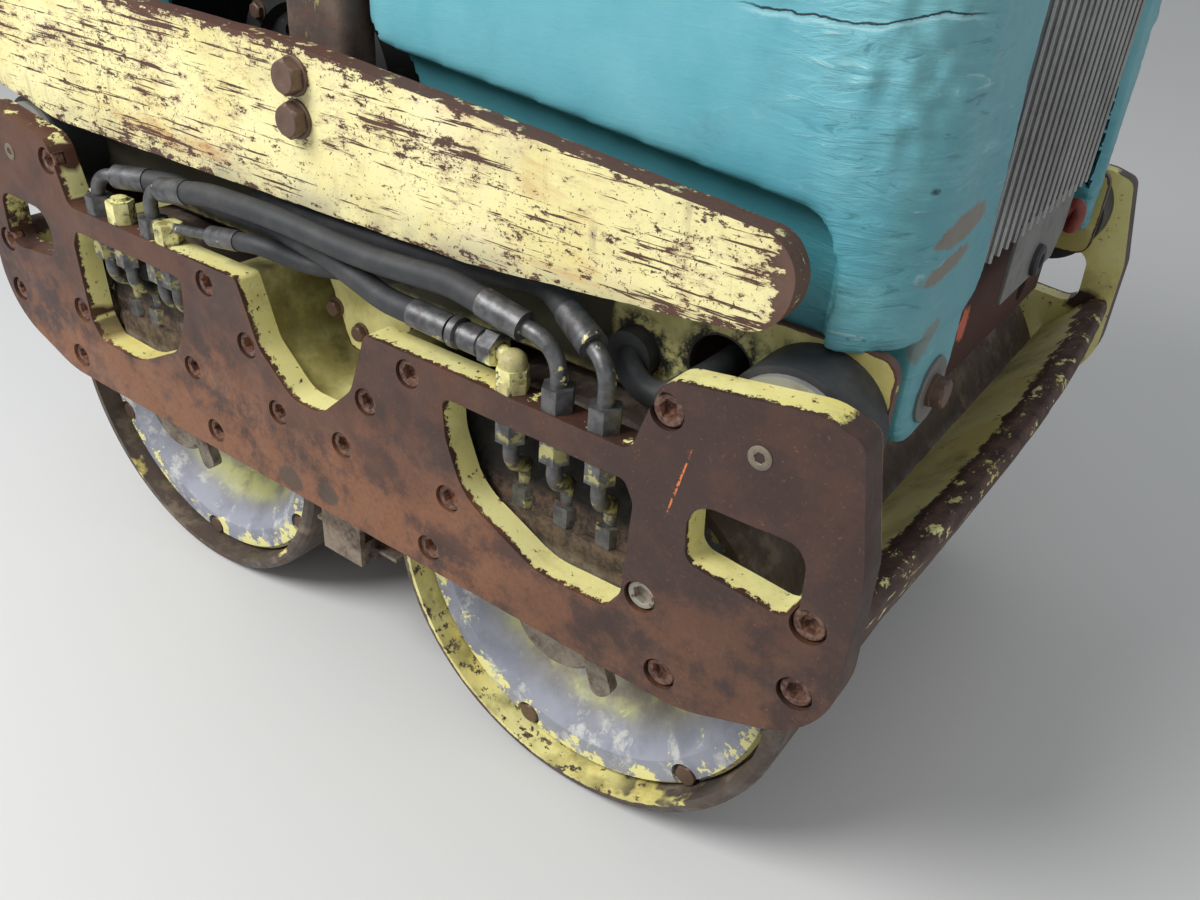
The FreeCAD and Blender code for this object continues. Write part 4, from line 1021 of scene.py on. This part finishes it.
def wearHood(mesh, h):
    # rubbed front corners: ridges and gouges pushed into the moulding, and where they are stored for its paint
    normals = [v.normal.copy() for v in mesh.vertices]
    rub, recess = [], []
    for vertex, normal in zip(mesh.vertices, normals):
        place = vertex.co
        x, y, z = (place.x - middleX) * 1000, place.y * 1000, place.z * 1000
        corner = math.hypot(x - h["front"] + wear["inset"], abs(y) - h["half"] + wear["inset"])
        near = bell(corner, 0, wear["corner"])
        patch = max(0.0, noise.noise(place * 9) + 0.25) * bell(x, *wear["cheek"])
        share = min(1.0, near + patch * 0.8)
        torn = near * bell(z, *wear["tear"])
        ridge = 1 - abs(noise.noise(Vector((place.x * 22, place.y * 22, place.z * 95)))) * 2
        gouges = noise.noise(place * 60)
        depth = max(0.0, gouges) * 1.8 * near - max(0.0, ridge - 0.3) * 1.1 * share + noise.noise(place * 17) * 0.25
        depth += torn * (noise.noise(place * 85) * 4.2 + 1.6)
        vertex.co = place - normal * depth / 1000
        rub.append(min(1.0, share + torn))
        # vertices on the recess floor are stored as recess, for painted shade in the hood's paint
        inShadedRecess = abs(y) < h["half"] - h["recess"] + 3 and abs(normal.y) > 0.5
        recess.append(float(inShadedRecess and x < wear["recess"][0] and z < wear["recess"][1]))
    store(mesh, "rub", rub)
    store(mesh, "recess", recess)
    return mesh


def addHood(name, h, node):
    mesh = wearHood(openHood(hoodSkin(h), h), h)
    mesh = modified(mesh, ("SOLIDIFY", {"thickness": h["wall"] / 1000, "offset": -1, "use_even_offset": False}))
    if h["sign"] < 0:
        aboutMiddle(mesh, Matrix.Diagonal((-1, 1, 1, 1))).flip_normals()
    newPiece(name, softShade(mesh, 50), "hoodShell", "hood_plastic", "frame", [node])
    print(name, "moulded:", len(mesh.polygons), "faces")


addHood("frontHood.shell", hood, "front_hood")
addHood("rearHood.shell", rearHood, "rear_hood")


def ringed(name, rings, count=36):
    # a turned head from rings of radius, height and, where given, share of hexagon and drop at the corners
    bm = bmesh.new()
    rows = []
    for ring in rings:
        radius, height, share, drop = (*ring, 0, 0)[:4]
        row = []
        for i in range(count):
            angle = 2 * math.pi * i / count
            folded = (angle + math.pi / 6) % (math.pi / 3) - math.pi / 6
            across = radius * (1 + share * (1 / math.cos(folded) - 1))
            row.append(bm.verts.new((across * math.cos(angle) / 1000, across * math.sin(angle) / 1000,
                                     (height - drop * (across - radius)) / 1000)))
        rows.append(row)
    for lower, upper in zip(rows, rows[1:]):
        bridge(bm, lower, upper)
    bm.faces.new(rows[-1])
    mesh = closed(bm, name)
    mesh.shade_smooth()
    mesh.set_sharp_from_angle(angle=math.radians(35))
    return mesh


heads = {
    # rings from the seat up, in millimetres
    "socketScrew": [(12, -9), (12, -1.4), (10.8, 0), (8, 0), (6.6, -0.7, 1), (6.3, -7, 1), (3, -8)],
    "hexBolt": [(14.6, 0), (14.6, 2.2), (14, 2.6), (11.8, 2.6, 1), (11.8, 11, 1, 0.7), (11, 12.4), (5.4, 12.4),
                (4.6, 11.9)],
    "discBolt": [(12.2, 0), (12.2, 2.6), (11.6, 3.2), (9.4, 3.2, 1), (9.4, 12.5, 1, 0.6), (8.9, 13.6), (4, 13.6)],
    "holePlug": [(8.2, -1), (8.2, 0.5), (7.4, 0.9), (4.2, 0.9), (3.4, 0.4, 1), (3.2, -4, 1), (1, -4.4)],
    "portElbow": [(11.4, 0, 1), (11.4, 8, 1, 0.5), (8.6, 9), (8.6, 11), (10.2, 12, 0.3), (10.4, 22, 0.3),
                  (9.4, 26.5, 0.2), (6.4, 29.3), (2.4, 30.2)],
    "swivelBody": [(7, 0), (11.6, 1, 1), (11.6, 13, 1), (9.4, 14), (9.4, 16), (10.8, 17), (10.8, 33), (9.2, 34.5),
                   (9.2, 37), (12.2, 38), (12.2, 44), (7, 45)],
    "legBolt": [(12, 0), (12, 3), (11.4, 3.4), (10, 3.4, 1), (10, 10.5, 1, 0.6), (9.4, 11.5)],
    "legWasher": [(25, 0), (25, 2.2), (24.2, 3), (14, 3), (13, 2.4)],
    "webBolt": [(9, 0), (9, 1.6), (8.6, 2), (6.5, 2, 1), (6.5, 7, 1, 0.6), (6, 7.6)],
    "gripSleeve": [(13.6, 0), (16.9, 0.6), (17.2, 2.5), (15.4, 4.5), (15.4, 112), (17.2, 114), (17.2, 117),
                   (13.6, 118)],
    "gripRib": [(15.2, 0), (16.7, 0.8), (16.7, 2.2), (15.2, 3)],
    "leverBoot": [(25, -3), (25, 3), (20, 6), (21, 9), (16, 12), (17, 15), (12, 18), (13, 21), (8.6, 25), (8.2, 31)],
    "stopCollar": [(15, -3), (15, 3), (13, 5), (9, 5), (9, 10)],
    "stopHead": [(9, 8), (16, 9.5), (17.5, 13), (16.5, 17), (12, 19.5), (4, 20.4)],
    "keySwitch": [(13, -3), (13, 2), (11.5, 3.5), (11, 7, 1), (8, 8), (6.5, 8), (6, 6.5)],
    "gauge": [(22, -4), (22, 3), (20.5, 4.5), (18.5, 4.5), (18, 2.6)],
    "pinWasher": [(15.2, 0), (24, 0.2), (24, 2.8), (15.2, 3)],
    "pinNut": [(21, 0, 1), (21, 8, 1, 0.5), (18.6, 9.6), (15.4, 9.6), (15, 9)],
    "smallBolt": [(9, -0.5), (9, 1.2), (6.5, 1.2, 1), (6.5, 5.6, 1, 0.4), (5.6, 6.4), (2, 6.4)],
    "bead": [(4.6, -1.2), (4.2, 1), (3, 2.3), (1.2, 2.9)],
    "clamp": [(56.5, 0), (60.5, 0.5), (60.5, 5.5), (56.5, 6)],
    "latchRoot": [(11, -0.5), (11, 3.5), (9, 5), (3, 5.4)],
    "grommet": [(14, 0), (14, 4), (12.5, 6), (7, 6), (6, 3), (2, 2)]}


def headTree():
    # one head on every point, along the point's stored axis, each turned at random
    tree = bpy.data.node_groups.new("headsOnPoints", "GeometryNodeTree")
    for title, way, kind in (("Geometry", "INPUT", "Geometry"), ("Head", "INPUT", "Object"), ("Turn", "INPUT", "Float"),
                             ("Seed", "INPUT", "Int"), ("Finish", "INPUT", "Material"),
                             ("Geometry", "OUTPUT", "Geometry")):
        tree.interface.new_socket(title, in_out=way, socket_type="NodeSocket" + kind)

    def node(kind, feeds, out=0, **settings):
        made = tree.nodes.new(kind)
        for key, value in settings.items():
            setattr(made, key, value)
        for key, value in feeds.items():
            tree.links.new(value, made.inputs[key])
        return made.outputs[out]

    given = tree.nodes.new("NodeGroupInput").outputs
    head = node("GeometryNodeObjectInfo", {"Object": given["Head"]}, "Geometry")
    axis = node("GeometryNodeInputNamedAttribute", {}, "Attribute", data_type="FLOAT_VECTOR")
    axis.node.inputs["Name"].default_value = "axis"
    align = node("FunctionNodeAlignRotationToVector", {"Vector": axis}, axis="Z")
    chance = node("FunctionNodeRandomValue", {3: given["Turn"], "Seed": given["Seed"]}, 1)
    turn = node("FunctionNodeEulerToRotation", {0: node("ShaderNodeCombineXYZ", {"Z": chance})})
    rotate = node("FunctionNodeRotateRotation", {0: align, 1: turn}, rotation_space="LOCAL")
    placed = node("GeometryNodeInstanceOnPoints", {"Points": given["Geometry"], "Instance": head, "Rotation": rotate})
    real = node("GeometryNodeRealizeInstances", {0: placed})
    painted = node("GeometryNodeSetMaterial", {"Geometry": real, "Material": given["Finish"]})
    tree.links.new(painted, tree.nodes.new("NodeGroupOutput").inputs[0])
    return tree


headsOnPoints = headTree()


def scatter(name, unit, spots, finish, slot, body="frame", turn=6.28, seed=1):
    # the unit's mesh on every spot, a pair of place and axis
    points = bpy.data.meshes.new(name + "Points")
    points.from_pydata([spot[0] for spot in spots], [], [])
    axis = points.attributes.new("axis", "FLOAT_VECTOR", "POINT")
    axis.data.foreach_set("vector", np.array([spot[1] for spot in spots], np.float32).ravel())
    shape = linked(name + "Unit", unit)
    worker = linked(name, points)
    modifier = worker.modifiers.new("heads", "NODES")
    modifier.node_group = headsOnPoints
    values = {"Head": shape, "Turn": turn, "Seed": seed, "Finish": finishes[finish]}
    for socket in headsOnPoints.interface.items_tree:
        if socket.in_out == "INPUT" and socket.name in values:
            modifier[socket.identifier] = values[socket.name]
    mesh = evaluated(worker)
    bpy.data.objects.remove(shape)
    return newPiece(name, mesh, finish, slot, body)


def addHeads(name, head, spots, finish, slot, body="frame", turn=6.28, seed=1):
    return scatter(name, ringed(head, heads[head]), spots, finish, slot, body, turn, seed)


for side, word in ((-1, "right"), (1, "left")):
    out, face = (0, side, 0), side * outerY * 1000
    plateHeads = {
        # head, spots, finish, slot, seed
        "plateScrews": ("socketScrew", [(at(sx * x, face - side * screws["sunk"], z), out) for sx in (1, -1)
                                        for x, z in screws["table"]], "screwSteel", "zinc_steel", 3),
        "guardBolts": ("hexBolt", [(at(0, side * 338, z), out) for z in (553.5, 584.5)], "boltRust", "rusty_steel", 5),
        "webBolts": ("webBolt", [(at(x, side * 283, z), out) for x, z in ((-39, 372), (-8, 357))],
                     "boltRust", "pale_yellow", 7),
        "holePlugs": ("holePlug", [(at(sx * 418.7, face, 442.2), out) for sx in (1, -1)],
                      "paleSteel", "zinc_steel", 8),
        "portElbow": ("portElbow", [(at(217, side * 344.5, 409), (0, 0, 1))], "elbowPaint", "pale_yellow", 2),
        "swivel": ("swivelBody", [(at(206, side * 344.5, 434.5), (-0.9994, 0, 0.035))],
                   "zincFitting", "zinc_steel", 2)}
    for name, (head, spots, finish, slot, seed) in plateHeads.items():
        addHeads(name + "." + word, head, spots, finish, slot, seed=seed)
legSpots = [(at(sx * 460, y, 435), (sx, 0, 0)) for sx, y in ((1, -184), (-1, -185), (-1, 185))]
legPlate = 0.0024  # where a leg's bolt sits on its washer
addHeads("legWashers", "legWasher", legSpots, "washerGrey", "zinc_steel", seed=9)
addHeads("legBolts", "legBolt", [(place + Vector(axis) * legPlate, axis) for place, axis in legSpots],
         "boltRust", "zinc_steel", seed=9)
discBolts = {"circle": 0.175, "face": 0.282, "count": 6}
for body, axle, phase in (("drum_front", frontAxle, 17), ("drum_rear", rearAxle, 4)):
    spots = []
    for i in range(discBolts["count"]):
        angle = math.radians(360 / discBolts["count"] * i + phase)
        for side in (-1, 1):
            spots.append((axle + Vector((discBolts["circle"] * math.sin(angle), side * discBolts["face"],
                                         discBolts["circle"] * math.cos(angle))), (0, side, 0)))
    addHeads("discBolts." + body, "discBolt", spots, "boltRust", "zinc_steel", body, seed=11)
print("screws and bolts placed")


cooler = {"right": -142, "left": 186, "pitch": 20, "low": 505, "high": 880, "back": 396, "face": 426, "front": 460,
          "apron": (-28, 142, 447, 512), "grommet": (57, 463)}


def drawn(line, x0, x1, bevel=0.0):
    # a y, z outline drawn out along x with its arrises rounded
    mesh = crossPrism(roundedLine(line), x0, x1)
    steps = [("BEVEL", {"width": bevel / 1000, "segments": 2, "angle_limit": arrisAngle})] if bevel else []
    return modified(mesh, *steps)


def strip(section, length):
    # a section in y, z drawn out along the unit's own x, in millimetres
    return drawnOut(*([(sx * length / 2000, y / 1000, z / 1000) for y, z in section] for sx in (-1, 1)))


def addCooler():
    # upright ribs with finer webs between them, the core behind, the apron and its grommet below
    c = cooler
    height = c["high"] - c["low"]
    middle = (c["low"] + c["high"]) / 2
    for name, sheet, bead, reach, shift, finish in (("ribs", 0.6, 1.15, 0, 0.5, "ribMetal"),
                                                    ("webs", 0.5, 0.8, 9, 0.0, "finMetal")):
        depth = c["front"] - c["face"] - reach
        unit = strip([(-sheet, 0), (-sheet, depth - 3), (-bead, depth - 1.6), (-bead * 0.7, depth), (bead * 0.7, depth),
                      (bead, depth - 1.6), (sheet, depth - 3), (sheet, 0)], height)
        count = int((c["left"] - c["right"]) / c["pitch"] + shift)
        spots = [(at(c["face"], c["right"] + 8 + c["pitch"] * (i + shift), middle), (1, 0, 0)) for i in range(count)]
        scatter("cooler." + name, unit, spots, finish, "aluminium_core", turn=0)
    core = drawn([(c["right"], 497, 4), (c["left"], 497, 4), (c["left"], 886, 4), (c["right"], 886, 4)],
                 c["back"], c["face"], 1.5)
    newPiece("cooler.core", softShade(core), "finMetal", "aluminium_core", "frame", ["radiator"])
    right, left, low, high = c["apron"]
    plate = drawn([(right, low, 3), (left - 18, low, 6), (left, low + 22, 8), (left, high, 2), (right, high, 2)],
                  c["front"] - 5, c["front"] - 1.5, 0.8)
    newPiece("cooler.apron", softShade(plate), "apronMetal", "aluminium_core", "frame")
    y, z = c["grommet"]
    addHeads("cooler.grommet", "grommet", [(at(c["front"] - 2, y, z), (1, 0, 0))], "bufferRubber", "black_rubber")


def rope(points, radius):
    # a round bar bent along a smooth line, capped at both ends
    curve = bpy.data.curves.new("bar", "CURVE")
    curve.dimensions = "3D"
    curve.bevel_depth = radius / 1000
    curve.bevel_resolution = 5
    curve.resolution_u = 8
    curve.use_fill_caps = True
    line = curve.splines.new("NURBS")
    line.points.add(len(points) - 1)
    for spot, point in zip(line.points, points):
        spot.co = (*at(*point), 1)
    line.use_endpoint_u = True
    line.order_u = 3
    mesh = evaluated(linked("bar", curve))
    mesh.shade_smooth()
    return mesh


addCooler()
hook = {"radius": 6.2, "line": [(433, 170, 430), (438, 169, 450), (446, 168, 470), (455, 167, 484), (462, 166, 487),
                                (464, 167, 474), (460, 170, 462), (452, 176, 466), (452, 180, 478)],
        "tab": [(162, 426, 4), (182, 426, 4), (180, 450, 6), (164, 450, 6)]}
hookMesh = closed(opened(rope(hook["line"], hook["radius"]), drawn(hook["tab"], 428, 436, 1)), "hook")
newPiece("hoodHook", softShade(hookMesh), "redPaint", "red_paint", "frame", ["hood_hook"])
print("cooler and hook built")


barPlace = {"pivot": (-545, 0, 545), "angle": 29, "length": 880, "reach": 180}


def onBar(x, y, z, way=False):
    # from the drawbar's own axes, x forward along it, to the frame's
    c, r = math.cos(math.radians(barPlace["angle"])), math.sin(math.radians(barPlace["angle"]))
    turned = (x * c + z * r, y, z * c - x * r)
    return turned if way else at(*(a + b for a, b in zip(barPlace["pivot"], turned)))


def seam(a, b, way, pitch=3.6):
    # bead places along a welded edge from a to b
    a, b = Vector(a), Vector(b)
    count = max(2, round((b - a).length / pitch))
    return [(at(*a.lerp(b, i / count)), way) for i in range(count + 1)]


def addHandle():
    # grips of the handle loop, controls of the console and the ends of the drawbar's pin
    barX, _, barZ = onBar(-barPlace["length"], 0, 0)
    barX -= barPlace["reach"] / 1000
    upward = onBar(0.0995, 0, 0.995, way=True)

    def top(x, y):
        return onBar(x, y, 99 - (x + 870) * 0.1), upward

    def grip(side, y):
        return Vector((barX, side * y / 1000, barZ)), (0, side, 0)

    ribs = [grip(side, 74 + 5 * i) for side in (-1, 1) for i in range(20)]
    bolts = [top(x, y) for x in (-858, -764) for y in (-60, 60)]
    bolts += [(onBar(x, side * 70, 46), (0, side, 0)) for x in (-880, -750) for side in (-1, 1)]
    washers, nuts = ([(onBar(0, side * gap, 0), (0, side, 0)) for side in (-1, 1)] for gap in (54.3, 57.3))
    barHeads = {
        # head, spots, finish, slot, seed
        "handle.sleeves": ("gripSleeve", [grip(side, 66) for side in (-1, 1)], "bufferRubber", "black_rubber", 1),
        "handle.ribs": ("gripRib", ribs, "bufferRubber", "black_rubber", 1),
        "console.boot": ("leverBoot", [top(-810, 0)], "bufferRubber", "black_rubber", 1),
        "console.stopCollar": ("stopCollar", [top(-846, 42)], "elbowPaint", "black_plastic", 1),
        "console.stopHead": ("stopHead", [top(-846, 42)], "stopRed", "red_paint", 1),
        "console.key": ("keySwitch", [top(-846, -42)], "zincFitting", "zinc_steel", 1),
        "console.gauge": ("gauge", [top(-784, 40)], "blackPlastic", "black_plastic", 1),
        "console.bolts": ("smallBolt", bolts, "boltRust", "zinc_steel", 4),
        "drawbarPin.washers": ("pinWasher", washers, "boltRust", "zinc_steel", 6),
        "drawbarPin.nuts": ("pinNut", nuts, "boltRust", "zinc_steel", 6)}
    for name, (head, spots, finish, slot, seed) in barHeads.items():
        addHeads(name, head, spots, finish, slot, "drawbar", seed=seed)


def addWelds():
    # seams of the lifting frame's posts and eye, and of the drawbar brackets
    spots = []
    for side in (-1, 1):
        spots += seam((-30, side * 318, 950), (30, side * 318, 950), (0, side, 0.2))
        for sx in (-1, 1):
            spots += seam((sx * 33, side * 286, 950), (sx * 33, side * 316, 950), (sx, 0, -0.3))
            if side > 0:
                spots += seam((-54, sx * 10.5, 1010), (54, sx * 10.5, 1010), (0, sx, 1))
            y = side * (48 + sx * 6.5)
            spots += seam((-428.5, y, 448), (-428.5, y, 496), (-1, side * sx, 0))
    addHeads("weldBeads", "bead", spots, "postRust", "rusty_steel", seed=12)


def addBay():
    # bolts of the fan cover, the engine and the tank, and the air cleaner's clamp
    spots = [(at(-137 + 76 * math.cos(a), -218, 538 + 76 * math.sin(a)), (0, -1, 0))
             for a in (math.radians(60 * i + 15) for i in range(6))]
    spots += [(at(x, y, 640), (0, 0, 1)) for x in (-176, 0, 60, 240) for y in (-120, 120)]
    spots += [(at(x, side * 160, z), (0, side, 0)) for x in (40, 150, 280) for z in (440, 590) for side in (-1, 1)]
    addHeads("engineBolts", "smallBolt", spots, "boltRust", "zinc_steel", seed=14)
    addHeads("cleanerClamp", "clamp", [(at(-137, -56, 892), (0, 1, 0))], "zincFitting", "zinc_steel", seed=15)
    tankBolts = [(at(x, y, 760), (0, 0, 1)) for x in (-395, -285) for y in (-175, 0, 175)]
    addHeads("tankBolts", "smallBolt", tankBolts, "boltRust", "zinc_steel", seed=16)


def addCovers():
    # ribs, strap and bolts of the service lid, and the rear hood's louvres
    rib = strip([(-4.5, -0.5), (-3.2, 1.6), (-1.6, 2.2), (1.6, 2.2), (3.2, 1.6), (4.5, -0.5)], 104)
    scatter("lid.ribs", rib, [(at(-332, y, 962), (0, 0, 1)) for y in range(-150, 151, 30)], "hoodShell", "hood_plastic",
            "lid", turn=0)
    addHeads("lid.latchRoots", "latchRoot", [(at(-394, y, 962), (0, 0, 1)) for y in (-11, 11)], "bufferRubber",
             "black_rubber", "lid", seed=18)
    strap = drawn([(-24, 961.8, 2), (24, 961.8, 2), (24, 966.5, 3), (-24, 966.5, 3)], -403, -384, 1)
    newPiece("lid.strap", softShade(strap), "bufferRubber", "black_rubber", "lid")
    rivets = [(at(x, y, 962), (0, 0, 1)) for x in (-266, -392) for y in (-180, -90, 90, 180)]
    addHeads("lid.bolts", "smallBolt", rivets, "boltRust", "zinc_steel", "lid", seed=19)
    louvre = strip([(-6, -1), (-5.5, 3.6), (-3.5, 4.6), (2, 2.2), (6, -1)], 96)
    spots = [(at(-350, side * 299.6, 690 + 17 * i), (0, side, 0)) for side in (-1, 1) for i in range(8)]
    scatter("rearHood.louvres", louvre, spots, "hoodShell", "hood_plastic", turn=0)


mud = {"width": (146, 342), "height": (272, 398), "back": 321.5, "grain": 5}


def addWindowMudAndShade():
    # packed dirt and painted shade standing behind each window, a lumpy sheet closed at its edges
    meshes = []
    across, upright = (int((mud[k][1] - mud[k][0]) / mud["grain"]) for k in ("width", "height"))
    for side in (-1, 1):
        for sx in (-1, 1):
            bm = bmesh.new()
            rows = []
            for j in range(upright + 1):
                row = []
                for i in range(across + 1):
                    x = sx * (mud["width"][0] + i * mud["grain"])
                    z = mud["height"][0] + j * mud["grain"]
                    edge = min(i, across - i, j + 2, upright - j) / 3
                    lump = abs(noise.fractal(Vector((x * 0.05, side * 3, z * 0.05)), 1.0, 2.0, 4)) * 7
                    low = max(0.0, (318 - z) / 30)
                    row.append(bm.verts.new(at(x, side * (mud["back"] + min(1, edge) * min(9, lump + low * 3)), z)))
                rows.append(row)
            for lower, upper in zip(rows, rows[1:]):
                bridge(bm, lower, upper, around=False)
            for face in bm.faces:
                face.smooth = True
            bmesh.ops.recalc_face_normals(bm, faces=bm.faces)
            bm.normal_update()
            if bm.faces[0].normal.y * side < 0:
                bmesh.ops.reverse_faces(bm, faces=bm.faces)
            meshes.append(modified(closed(bm, "mud"), ("SOLIDIFY", {"thickness": 0.0015, "offset": -1})))
    newPiece("windowMud", closed(opened(*meshes), "mud"), "windowMud", "rusty_steel")


addHandle()
addWelds()
addBay()
addCovers()
addWindowMudAndShade()
print("handle, welds, bay and covers dressed")


def addFloor():
    f = Finish("studioFloor", 0.75)
    f.done(rgb(214, 214, 212))
    bpy.ops.mesh.primitive_plane_add(size=60, location=(middleX, 0, 0))
    floor = bpy.context.object
    floor.name = "studioFloor"
    floor.data.materials.append(f.material)


addFloor()
